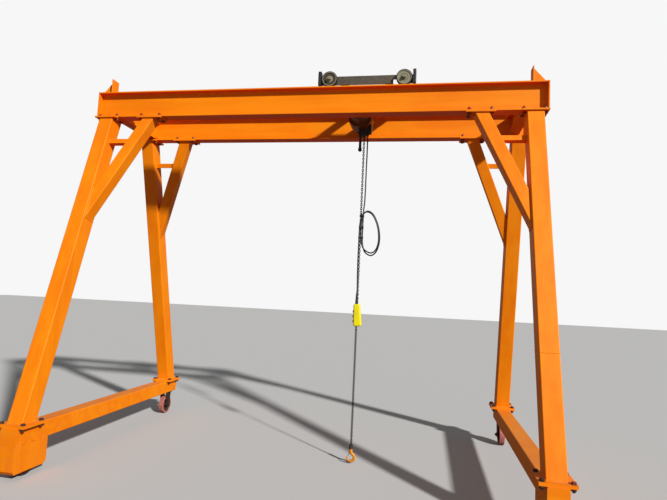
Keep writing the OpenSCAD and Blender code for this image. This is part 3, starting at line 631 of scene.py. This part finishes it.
# Weld seams: hand-laid fillet beads where tubes, plates, stops and wheel housings are joined,
# in closed runs round the tubes and in short stitches along the housings, painted over. The
# right front leg has a faint splice seam below its middle.
SPLAY = math.atan((FOOT_Y - GIRDER_Y) / (GIRDER_Z - BEAM_TOP - 2 * PLATE_T))
LEG_W, LEG_D, BRACE_W, STRUT_W, TUBE_R = 0.14, 0.152, 0.11, 0.05, 0.008
BRACE_RUN = BRACE_OUT - LEG_W / 2
BRACE_LEAN = math.atan2(BRACE_RUN, 0.91 / math.cos(SPLAY))
STRUT_DROP = 0.261 / math.cos(SPLAY)
STOP_FACE, STOP_T, STOP_W, STOP_H, GUSSET_END = 1.98, 0.010, 0.100, 0.138, 2.104
BEAD_R, THIN_BEAD_R, SPLICE_R, RIPPLE = 0.0055, 0.004, 0.0026, 0.006
SPLICE_Z = 1.215
PLATE_STITCHES, PLATE_STITCH_L, PLATE_STITCH_X = (-0.115, -0.03, 0.055), 0.06, 0.068
HOUSING_STITCHES, HOUSING_STITCH_L = (-1.272, -1.17, -1.068, -0.992), 0.055
HOUSING_ENDS, HOUSING_SIDE_X, HOUSING_END_X = (-1.2756, -0.934), 0.0665, 0.062


def rounded(w, d, r, per_corner=5):
    """Outline of a rounded rectangle: an arc in each corner, in turn from +x +y."""
    quarter = turns(0, 90, per_corner)
    arc = r * columns(np.cos(quarter), np.sin(quarter)) + (w / 2 - r, d / 2 - r)
    points = []
    for i, j in ((1, 1), (-1, 1), (-1, -1), (1, -1)):
        part = arc * (i, j)
        points.append(part if i * j > 0 else part[::-1])
    return np.vstack(points)


def evenly(path, closed, step=0.0, count=0):
    """Points at equal distances along a polyline: a set count, or one to each step."""
    path = np.asarray(path, float)
    if closed:
        path = np.vstack([path, path[:1]])
    along = np.r_[0, np.cumsum(np.linalg.norm(np.diff(path, axis=0), axis=1))]
    count = count or max(4, int(along[-1] / step))
    wanted = np.linspace(0, along[-1], count, endpoint=not closed)
    return columns(*(np.interp(wanted, along, column) for column in path.T))


def bead(path, normal, closed=True, radius=BEAD_R):
    """A rippled bead: its radius swells by a seventh once every RIPPLE of length."""
    path = evenly(path, closed, RIPPLE / 2)
    swell = radius * (1 + 0.14 * (np.arange(len(path)) % 2))
    outline = circle(1.0, 6)[None] * swell[:, None, None]
    return swept(path, normal, outline, closed), grid_faces(len(path), 6, closed)


def stitch(start, stop, normal=(0, 0, 1), radius=BEAD_R):
    """A straight bead."""
    return bead([start, stop], normal, closed=False, radius=radius)


def leg_plane(side, x, v, z):
    """Points of the legs' sloping plane: x along the girder, v square to the plane, z along it."""
    tilt = side * SPLAY
    y = side * GIRDER_Y + v * math.cos(tilt) - z * math.sin(tilt)
    return columns(x, y, GIRDER_Z + v * math.sin(tilt) + z * math.cos(tilt))


def leg_cut(hand, side, height):
    """Outline of a leg where a level plane cuts it: each edge is followed down its slope."""
    u, v = rounded(LEG_W, LEG_D, TUBE_R).T
    tilt = side * SPLAY
    z = (height - GIRDER_Z - v * math.sin(tilt)) / math.cos(tilt)
    return leg_plane(side, hand * LEG_X + u, v, z)


def brace_cut(hand, side, at_leg):
    """Outline of a brace where it ends, on the leg's inner face or under its head plate: each
    edge is followed along the brace's lean to that plane."""
    u, v = rounded(BRACE_W, BRACE_W, TUBE_R).T
    tilt, lean = side * SPLAY, BRACE_LEAN
    if at_leg:
        t = (u * math.cos(lean) - BRACE_RUN) / math.sin(lean)
    else:
        level = (-HEAD_T - v * math.sin(tilt)) / math.cos(tilt)
        t = (level - u * math.sin(lean)) / math.cos(lean)
    along = u * math.cos(lean) - t * math.sin(lean)
    return leg_plane(side, hand * (BRACE_X + along), v, u * math.sin(lean) + t * math.cos(lean))


def strut_cut(hand, side, at_leg):
    """Outline of a strut where it ends, on the leg's inner face or on the brace's side that
    faces the leg: each edge is followed along x to that plane."""
    z, v = rounded(STRUT_W, STRUT_W, TUBE_R / 2).T
    z = z - STRUT_DROP
    lean, half = BRACE_LEAN, BRACE_W / 2
    reach = half * math.cos(lean) - (z - half * math.sin(lean)) * math.tan(lean)
    x = LEG_X - LEG_W / 2 if at_leg else BRACE_X + reach
    return leg_plane(side, hand * x, v, z)


def end_seams(hand, side):
    """Beads round the leg, brace and strut of one end, round its stop, and along its foot."""
    up, across = (0, 0, 1), (1, 0, 0)
    parts = [bead(leg_cut(hand, side, BEAM_TOP + 2 * PLATE_T), up),
        bead(leg_cut(hand, side, GIRDER_Z - HEAD_T), up),
        bead(brace_cut(hand, side, False), up), bead(brace_cut(hand, side, True), across)]
    for at_leg in (False, True):
        parts.append(bead(strut_cut(hand, side, at_leg), across, radius=THIN_BEAD_R))
    face, back, end = (hand * x for x in (STOP_FACE, STOP_FACE + STOP_T, GUSSET_END))
    middle, reach = side * GIRDER_Y, STOP_W / 2 - 0.002
    parts.append(stitch((face, middle - reach, GIRDER_TOP), (face, middle + reach, GIRDER_TOP)))
    for y in (middle - STOP_T / 2, middle + STOP_T / 2):
        parts.append(stitch((back, y, GIRDER_TOP), (end, y, GIRDER_TOP), radius=THIN_BEAD_R))
        parts.append(stitch((back, y, GIRDER_TOP + 0.004), (back, y, GIRDER_TOP + STOP_H - 0.006),
            (0, 1, 0), THIN_BEAD_R))
    for x in (hand * LEG_X - PLATE_STITCH_X, hand * LEG_X + PLATE_STITCH_X):
        for first in PLATE_STITCHES:
            y, z = side * FOOT_Y + first, BEAM_TOP - 0.003
            parts.append(stitch((x, y, z), (x, y + PLATE_STITCH_L, z)))
    return parts


def housing_seams(hand):
    """Stitches along a wheel housing's sides and a bead at each of its ends."""
    parts = []
    middle, z = hand * LEG_X, BEAM_Z + 0.001
    for x in (middle - HOUSING_SIDE_X, middle + HOUSING_SIDE_X):
        for y in HOUSING_STITCHES:
            parts.append(stitch((x, y, z), (x, y + HOUSING_STITCH_L, z)))
    for y in HOUSING_ENDS:
        parts.append(stitch((middle - HOUSING_END_X, y, BEAM_Z),
            (middle + HOUSING_END_X, y, BEAM_Z)))
    return parts


splice = bead(leg_cut(1, -1, SPLICE_Z), (0, 0, 1), radius=SPLICE_R)
seams = piece("frame_weld_seams", joined(
    [part for hand, side in ends for part in end_seams(hand, side)] + [splice]
    + [part for hand in (-1, 1) for part in housing_seams(hand)]), frame_enamel)
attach(seams, "frame")

# Trolley axle ends: a castle nut of machined steel on each axle, screwed on outside the
# wheel, its crown slotted six times.
AXLE_END_Y = 0.4305


def castle_nut():
    """A hexagon with a round crown and the axle's end in it, standing on height 0. The crown's
    upper points are pushed down at every fourth of 24 directions, which cuts the slots."""
    crown = lathe([(0.0145, 0.010), (0.0145, 0.0165), (0.0135, 0.018)], 24)
    slots = np.arange(24) % 4 == 0
    crown[0].reshape(3, 24, 3)[1:, slots, 2] -= 0.005
    return joined([lathe([(0.0165, 0), (0.0175, 0.001), (0.0175, 0.010), (0.0155, 0.0115)], 6),
        crown, lathe([(0.009, 0.010), (0.009, 0.0175), (0.0075, 0.019)], 16)])


nut_steel = bare_metal("axle_nut_steel", (0.3, 0.27, 0.18), (0.48, 0.43, 0.3), 0.1, 0.5)
axle_nuts = piece("trolley_axle_nuts", joined(
    [placed(castle_nut(), (TROLLEY_X + hand * HALF_BASE, side * AXLE_END_Y, ROLLER_Z),
    (0, side, 0), 0.4 * hand + side) for hand, side in ends]), nut_steel, smooth=False)
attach(axle_nuts, "trolley")

# Cable ties: three bands of black plastic tape, pulled tight round the chain and the turns
# of cable beside it.
CHAIN_X, CHAIN_R = 0.5, 0.0112
TIE_HEIGHTS = (2.318, 2.205, 2.105)
TIE_W, TIE_T = 0.026, 0.0014
SLACK = 0.0006


def taut_loop(circles, points=48):
    """Closed path of a band pulled round circles (x, y, radius): in each direction, the point
    of the circle that reaches furthest that way."""
    way = circle(1.0, points)
    centres, radii = np.asarray(circles)[:, :2], np.asarray(circles)[:, 2]
    furthest = np.argmax(way @ centres.T + radii, axis=1)
    return centres[furthest] + radii[furthest, None] * way


def strands_at(height, near=0.55):
    """Where the cable passes a height close to the chain: on each stretch of the path that
    crosses it, the point in proportion."""
    pairs = [(a, b) for a, b in zip(cable_path, cable_path[1:])
        if (a[2] - height) * (b[2] - height) <= 0]
    points = [a + (height - a[2]) / (b[2] - a[2]) * (b - a) for a, b in pairs]
    return [(x, y, CABLE_D / 2 + SLACK) for x, y, _ in points if x < near]


def turned_over(faces):
    """Faces that look the other way."""
    return [f[::-1] for f in faces]


def band(height):
    """A flat strip round the chain and the strands: its four rims joined in a closed ring."""
    inner = taut_loop([(CHAIN_X, 0.0, CHAIN_R)] + strands_at(height))
    outer = inner + TIE_T * unit(inner - inner.mean(axis=0))
    rims = [(inner, -1), (outer, -1), (outer, 1), (inner, 1)]
    verts = np.stack([columns(*rim.T, height + half * TIE_W / 2) for rim, half in rims], axis=1)
    return verts, turned_over(grid_faces(len(inner), 4, True))


tape, shader, where = new_material("black_tape", Coat_Weight=0.2)
wrinkles = noise(stretched(where, (30.0, 30.0, 400.0)), 1.0, 3.0)
tone = blend(wrinkles, (0.008, 0.008, 0.009), (0.03, 0.03, 0.032))
finish(shader, tone, linear(wrinkles, 0.3, 0.3), wrinkles, 0.5, 0.0006)
ties = piece("cable_ties", joined([band(height) for height in TIE_HEIGHTS]), tape)
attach(ties, "trolley")

# Hoist: the joint flanges between gear case, motor and brake cover with their socket screws,
# the fan grille in the motor's end cap, and the screws of the chain guide.
HOIST_X, CASE_HALF, CASE_Z, MOTOR_R, MOTOR_L = 0.462, 0.095, 3.286, 0.092, 0.175
CASE_SCREW_R, CASE_SCREW_REACH = 0.0065, 0.107
GRILLE_RINGS, GRILLE_REACH = (0.022, 0.036, 0.050, 0.064, 0.078), 0.082
GRILLE_RING_R, GRILLE_RIB_R = 0.0024, 0.0026
GUIDE_SCREW_R, GUIDE_X, GUIDE_Y, GUIDE_Z = 0.005, (0.452, 0.512), 0.03, (3.12, 3.163)


def socket_screw(r):
    """A cylindrical head with a sunk socket, standing on height 0."""
    return lathe([(r, 0), (r, 1.35 * r), (0.92 * r, 1.5 * r), (0.55 * r, 1.5 * r),
        (0.5 * r, 0.8 * r)], 18)


def hoist_parts():
    """Two flange rings, four screws on each face, and the grille's rings and ribs."""
    parts = []
    inner, outer = MOTOR_R + 0.001, MOTOR_R + 0.006
    flange = lathe([(inner, 0.0), (outer, 0.0), (outer, 0.005), (inner, 0.008)], 72)
    for side in (-1, 1):
        face = np.array([HOIST_X, side * CASE_HALF, CASE_Z])
        parts.append(placed(flange, face, (0, side, 0)))
        for turn in turns(45, 315, 4):
            way = np.array([math.cos(turn), 0, math.sin(turn)])
            parts.append(placed(socket_screw(CASE_SCREW_R), face + CASE_SCREW_REACH * way,
                (0, side, 0)))
    middle = np.array([HOIST_X, CASE_HALF + MOTOR_L + 0.002, CASE_Z])
    for r in GRILLE_RINGS:
        x, z = circle(r, 64).T
        parts.append(tube(middle + columns(x, 0, z), (0, 1, 0), GRILLE_RING_R, 8, closed=True))
    for turn in turns(0, 135, 4):
        reach = np.linspace(-GRILLE_REACH, GRILLE_REACH, 12)
        rib = middle + columns(reach * math.cos(turn), 0, reach * math.sin(turn))
        parts.append(tube(rib, (0, 1, 0), GRILLE_RIB_R, 8))
    return joined(parts)


hoist_fittings = piece("hoist_fittings", hoist_parts(), hoist_enamel, smooth=False)
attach(hoist_fittings, "trolley")

guide_screws = piece("chain_guide_screws", joined(
    [placed(socket_screw(GUIDE_SCREW_R), (x, side * GUIDE_Y, z), (0, side, 0))
    for side in (-1, 1) for x in GUIDE_X for z in GUIDE_Z]), bolt_black, smooth=False)
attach(guide_screws, "trolley")

# Hook: a drop-forged hook with its bowl open to the left, its bar thickest at the bottom and
# tapering to a blunt tip, with a shoulder and a shank turned for the coupling. The orange
# enamel is worn off inside the bowl.
HOOK_GAP, BAR_R, BOWL_R, SHANK_R = 0.012, 0.012, 0.034, 0.008
THICKEST, UPPER_R, NECK_R = 0.014, 0.0135, 0.0155
BOWL_Z = HOOK_GAP + BAR_R + BOWL_R
NECK_Z = BOWL_Z + 2 * BOWL_R * math.sin(math.radians(60))
COUPLING_LOW = 0.1352
TIP_TURN = -195.0
HOOK_SIDES = 32


def hook_rings():
    """Rings along the bowl's arc, back round to the middle, and up the neck; the section is
    an oval that is deeper than wide at the bottom of the bowl."""
    first = turns(TIP_TURN, 60, 64)
    second = turns(240, 180, 18)[1:]
    neck = np.linspace(NECK_Z, COUPLING_LOW - 0.0033, 6)[1:]
    bowl = columns(BOWL_R * np.cos(first), 0, BOWL_Z + BOWL_R * np.sin(first))
    back = columns(BOWL_R + BOWL_R * np.cos(second), 0, NECK_Z + BOWL_R * np.sin(second))
    path = np.vstack([bowl, back, columns(0, 0, neck)]) + (CHAIN_X, 0, 0)
    way = np.degrees(first)
    swell = np.interp(way, (TIP_TURN, -150, -90, 0, 60),
        (0.0062, 0.0095, THICKEST, UPPER_R, UPPER_R))
    blunt = 1 - np.minimum(1, np.arange(len(first)) / 5.0)
    swell = swell * np.minimum(1, np.sqrt(1 - blunt**2) + 0.25)
    rest = len(back) + len(neck)
    upper = np.interp(np.arange(rest), (0, rest // 2, rest - 1), (UPPER_R, NECK_R, NECK_R))
    radii = np.concatenate([swell, upper])
    flat = np.concatenate([0.14 * np.exp(-((way + 90) / 50)**2), np.zeros(rest)])
    outline = circle(1.0, HOOK_SIDES)[None] * radii[:, None, None]
    outline = outline * columns(1 - flat, 1)[:, None, :]
    return swept(path, (0, 1, 0), outline)


hook_enamel, shader, where = new_material("hook_forged_enamel", Specular_IOR_Level=0.4)
forged = noise(where, 90.0, 4.0)
chips = use_group(chip_group, where, 260.0, 1.0)
away = {0: where, 1: (CHAIN_X, 0.0, BOWL_Z)}
centre = add("ShaderNodeVectorMath", away, operation="DISTANCE").outputs["Value"]
worn = times(steps(centre, BOWL_R - 0.004, BOWL_R - 0.011), steps(height_of(where), 0.075, 0.05))
worn = times(worn, steps(forged, 0.35, 0.55), clamp=True)
tone = blend(forged, (0.62, 0.19, 0.006), (0.85, 0.32, 0.016))
tone = blend(chips["Chips"], tone, RUST)
tone = blend(worn, tone, (0.22, 0.19, 0.16))
link(times(worn, 0.9), shader.inputs["Metallic"])
rough = linear(worn, -0.1, linear(forged, 0.2, 0.34))
bumps = math_node("ADD", forged, chips["Height"])
finish(shader, tone, rough, bumps, 0.4, 0.0008)

rings = hook_rings()
shank = lathe([(NECK_R, 0), (NECK_R, 0.001), (SHANK_R + 0.0005, 0.003), (SHANK_R, 0.0035),
    (SHANK_R, 0.0155)], HOOK_SIDES)
hook = piece("hook_forging", joined([(rings, grid_faces(len(rings), HOOK_SIDES)),
    placed(shank, (CHAIN_X, 0, COUPLING_LOW - 0.0035))]), hook_enamel)
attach(hook, "hook")
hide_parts("hook")

# Pendant: a two-part shell of yellow moulded plastic with softly rounded ends, a parting seam
# round its sides, three rubber button boots on its narrow left side and a ribbed rubber gland
# on top.
PENDANT_AT, PENDANT_TOP, PENDANT_LEAN = (0.503, -0.042), 1.472, math.radians(4)
PENDANT_W, PENDANT_D, PENDANT_H, END_R, SIDE_R = 0.078, 0.046, 0.208, 0.012, 0.014
SEAM_OUT, SEAM_W = 0.0006, 0.0012
PENDANT_SIDES = 120
BUTTON_STEP, BUTTONS_MIDDLE = 0.045, -0.55 * PENDANT_H
GLAND_AT, GLAND_TOP, GLAND_SINK = (0.500, -0.042), 1.580, 0.002
RIB_PITCH, RIB_OUT = 0.009, 0.0011


def at_pendant(points):
    """From the pendant's own frame, its top at height 0, to its place under the cable."""
    x, y, z = np.asarray(points).reshape(-1, 3).T
    c, s = math.cos(PENDANT_LEAN), math.sin(PENDANT_LEAN)
    return columns(PENDANT_AT[0] + x * c - z * s, PENDANT_AT[1] + y, PENDANT_TOP + x * s + z * c)


def pendant_width(z):
    """The body narrows from its foot to a slimmer top; z runs down from 0 at the top."""
    return PENDANT_W * np.interp(-z / PENDANT_H, (0, 0.3, 0.62, 1), (0.80, 0.86, 0.97, 1.0))


def pendant_shell():
    """Rounded-rectangle rings from the bottom up: they draw in along a quarter circle at both
    ends, and near the parting plane each ring stands out."""
    quarter = turns(0, 90, 9)
    inset = END_R * np.r_[1 - np.sin(quarter), np.zeros(30), 1 - np.cos(quarter)]
    z = np.r_[END_R * (1 - np.cos(quarter)), np.linspace(END_R, PENDANT_H - END_R, 32)[1:-1],
        PENDANT_H - END_R + END_R * np.sin(quarter)]
    rows = []
    for low, cut in zip(z - PENDANT_H, inset):
        outline = rounded(pendant_width(low) - 2 * cut, PENDANT_D - 2 * cut,
            SIDE_R * (1 - 0.5 * cut / END_R), 9)
        outline = evenly(outline, True, count=PENDANT_SIDES)
        seam = SEAM_OUT * np.exp(-(outline[:, 1] / SEAM_W)**2)
        outline[:, 0] += np.sign(outline[:, 0]) * (seam - SEAM_OUT)
        rows.append(columns(*outline.T, low))
    return at_pendant(rows), grid_faces(len(rows), PENDANT_SIDES)


def boots(heights):
    """Rubber boots on the narrow side: a flange, a bellows fold and a domed top."""
    profile = [(0.0165, 0), (0.0165, 0.0018), (0.0135, 0.0026), (0.0125, 0.0022),
        (0.0118, 0.0034), (0.0112, 0.0058), (0.0095, 0.0074), (0.006, 0.0082), (0.002, 0.0084)]
    parts = []
    for z in heights:
        seat = (0.0012 - pendant_width(z) / 2, 0, z)
        verts, faces = placed(lathe(profile, 32), seat, (-1, 0, 0))
        parts.append((at_pendant(verts), faces))
    return joined(parts)


def gland_sleeve():
    """A cone with rings round it: cosine ribs between a plain foot and a plain end."""
    height = GLAND_TOP - PENDANT_TOP + GLAND_SINK
    up = np.linspace(0, height, 90)
    cone = np.interp(up, [0, height], [0.0145, CABLE_D / 2 + 0.0018])
    ribbed = (up > 0.018) & (up < height - 0.006)
    ribs = np.where(ribbed, RIB_OUT * np.cos(2 * np.pi * up / RIB_PITCH), 0.0)
    sleeve = lathe(columns(cone + ribs, up), 40)
    return placed(sleeve, (*GLAND_AT, PENDANT_TOP - GLAND_SINK))


pendant_yellow, shader, where = new_material("pendant_plastic", Coat_Weight=0.15)
smudges = noise(where, 35.0, 4.0)
tone = blend(steps(smudges, 0.4, 0.8), (0.9, 0.78, 0.0), (0.72, 0.62, 0.02))
rough = linear(smudges, 0.3, 0.25)
finish(shader, tone, rough, noise(where, 500.0), 0.15, 0.0004)
pendant = piece("pendant_shell", pendant_shell(), pendant_yellow)
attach(pendant, "trolley")
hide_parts("pendant_body")

buttons = piece("pendant_button_boots", boots([BUTTONS_MIDDLE - BUTTON_STEP, BUTTONS_MIDDLE]),
    rubber("button_rubber", (0.015, 0.014, 0.015)))
stop_button = piece("pendant_stop_boot", boots([BUTTONS_MIDDLE + BUTTON_STEP]),
    rubber("stop_rubber", (0.30, 0.012, 0.010)))
for boot in (buttons, stop_button):
    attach(boot, "trolley")
    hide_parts("pendant_buttons")

gland = piece("pendant_gland_sleeve", gland_sleeve(), rubber("gland_rubber", (0.013, 0.013, 0.015)))
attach(gland, "trolley")
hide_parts("pendant_gland")

# End stops: on each girder's end a plate with a triangular gusset behind its middle, both
# burned from 10 mm plate with their edges ground off, so that each edge shows a thin bevel.


def burned_plate(outline, thickness, bevel=0.0015):
    """A convex outline extruded to both sides of the plane, its ends drawn in by the bevel."""
    outline = np.asarray(outline, float)
    drawn_in = outline + 1.4 * bevel * unit(outline.mean(axis=0) - outline)
    half = thickness / 2
    levels = ((drawn_in, -half), (outline, bevel - half), (outline, half - bevel), (drawn_in, half))
    rows = [columns(*ring.T, level) for ring, level in levels]
    return np.vstack(rows), grid_faces(4, len(outline))


def stop_pair(hand):
    """Both stops of one end; the plate's outline lies in y and z, the gusset's in x and z."""
    parts = []
    half, back, top = STOP_W / 2, STOP_FACE + STOP_T, STOP_H - 0.004
    face, face_faces = burned_plate(
        [(-half, 0), (half, 0), (half, STOP_H), (-half, STOP_H)], STOP_T)
    rib, rib_faces = burned_plate([(back, 0), (GUSSET_END, 0), (GUSSET_END, 0.010),
        (back + 0.006, top), (back, top)], STOP_T)
    if hand > 0:
        rib_faces = turned_over(rib_faces)
    else:
        face_faces = turned_over(face_faces)
    for side in (-1, 1):
        y = side * GIRDER_Y
        plate = columns(hand * (face[:, 2] + STOP_FACE + STOP_T / 2), y + face[:, 0],
            GIRDER_TOP + face[:, 1])
        gusset = columns(hand * rib[:, 0], y + rib[:, 2], GIRDER_TOP + rib[:, 1])
        parts += [(plate, face_faces), (gusset, rib_faces)]
    return joined(parts)


for hand, name in ((-1, "left"), (1, "right")):
    stops = piece(name + "_stop_plates", stop_pair(hand), frame_enamel, smooth=False)
    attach(stops, "frame")
    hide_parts(name + "_end_stops")

# Trolley frame seams: fillet beads round the cross tubes where they meet the side plates, and
# along the hanger bars' ends, left bare and brown.
TUBE_X, TUBE_Z, TUBE_W, PLATE_IN = 0.205, 3.484, 0.06, 0.368
HANGER_Y, HANGER_HALF, HANGER_BEAD = 0.03, 0.006, 0.027


def trolley_seams():
    """Closed beads round four tube ends and upright beads at eight bar ends."""
    parts = []
    x, z = rounded(TUBE_W + 0.002, TUBE_W + 0.002, 0.005).T
    for hand, side in ends:
        ring = columns(TROLLEY_X + hand * TUBE_X + x, side * (PLATE_IN - 0.001), TUBE_Z + z)
        parts.append(bead(ring, (0, 1, 0), radius=THIN_BEAD_R))
        for off in (-HANGER_HALF, HANGER_HALF):
            at = TROLLEY_X + hand * (TUBE_X - TUBE_W / 2 - 0.001), side * HANGER_Y + off
            parts.append(stitch((*at, TUBE_Z - HANGER_BEAD), (*at, TUBE_Z + HANGER_BEAD),
                (1, 0, 0), 0.0035))
    return joined(parts)


trolley_beads = piece("trolley_weld_seams", trolley_seams(), cast_iron)
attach(trolley_beads, "trolley")

# Rear forks: at each end of the axles the threaded end with its split pin, standing out of
# the nut.
AXLE_Y, AXLE_Z, NUT_FACE = 1.165, 0.104, 0.054
PIN_WAY, PIN_HALF, PIN_R = (0, 0.5, 0.866), 0.019, 0.0016


def axle_ends():
    """A thread and a leaning pin at each axle end."""
    parts = []
    threads = [(0.0115 - 0.0009 * (i % 2), HALF_PITCH * i) for i in range(8)] + [(0.0085, 0.0105)]
    for hand, side in ends:
        end = (hand * LEG_X + side * NUT_FACE, AXLE_Y, AXLE_Z)
        parts.append(placed(lathe(threads, 20), end, (side, 0, 0)))
        pin = np.linspace(-PIN_HALF, PIN_HALF, 10)[:, None] * PIN_WAY
        pin = np.array(end) + (side * 0.0045, 0, 0) + pin
        parts.append(tube(pin, (1, 0, 0), PIN_R, 8))
    return joined(parts)


fork_fittings = piece("rear_fork_axle_ends", axle_ends(), cast_iron, smooth=False)
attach(fork_fittings, "frame")

# Buffers: moulded rubber blocks on the trolley's four corners, standing higher than the
# wheels, with rounded arrises and a sunk fixing near the top and the bottom of the face.
BUFFER_X, BUFFER_T, BUFFER_IN, BUFFER_OUT = 0.417, 0.028, 0.368, 0.423
BUFFER_LOW, BUFFER_H, ARRIS_R, BUFFER_CORNER_R = 3.453, 0.133, 0.005, 0.006
BUFFER_Y, FIXING_INSET = (BUFFER_IN + BUFFER_OUT) / 2, 0.03


def buffer_block(hand, side):
    """A block whose outline in y and z has round corners; towards its face it draws in along
    a quarter circle."""
    wide, corner = BUFFER_OUT - BUFFER_IN, BUFFER_CORNER_R
    rows = [(rounded(wide, BUFFER_H, corner, 6), 0.0)]
    for turn in turns(0, 90, 6):
        cut = ARRIS_R * (1 - math.cos(turn))
        level = BUFFER_T - ARRIS_R + ARRIS_R * math.sin(turn)
        ring = rounded(wide - 2 * cut, BUFFER_H - 2 * cut, corner - 0.6 * cut, 6)
        rows.append((ring, level))
    verts = [columns(TROLLEY_X + hand * (BUFFER_X + level), side * BUFFER_Y + ring[:, 0],
        BUFFER_LOW + BUFFER_H / 2 + ring[:, 1]) for ring, level in rows]
    faces = grid_faces(len(rows), len(rows[0][0]))
    return np.vstack(verts), faces if hand > 0 else turned_over(faces)


def buffer_fixings(hand, side):
    """A shallow cup with a raised rim near the top and the bottom of the face."""
    cup = lathe([(0.012, -0.001), (0.0125, 0.0004), (0.0105, 0.0006), (0.0098, -0.0006)], 28)
    x, y = TROLLEY_X + hand * (BUFFER_X + BUFFER_T), side * BUFFER_Y
    return [placed(cup, (x, y, z), (hand, 0, 0))
        for z in (BUFFER_LOW + FIXING_INSET, BUFFER_LOW + BUFFER_H - FIXING_INSET)]


for hand, name in ((-1, "left"), (1, "right")):
    blocks = piece(name + "_buffer_blocks", joined(
        [buffer_block(hand, side) for side in (-1, 1)]), black_paint, smooth=False)
    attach(blocks, "trolley")
    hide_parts(name + "_buffers")
buffer_screws = piece("buffer_screws", joined(
    [part for hand, side in ends for part in buffer_fixings(hand, side)]), bolt_black, smooth=False)
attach(buffer_screws, "trolley")
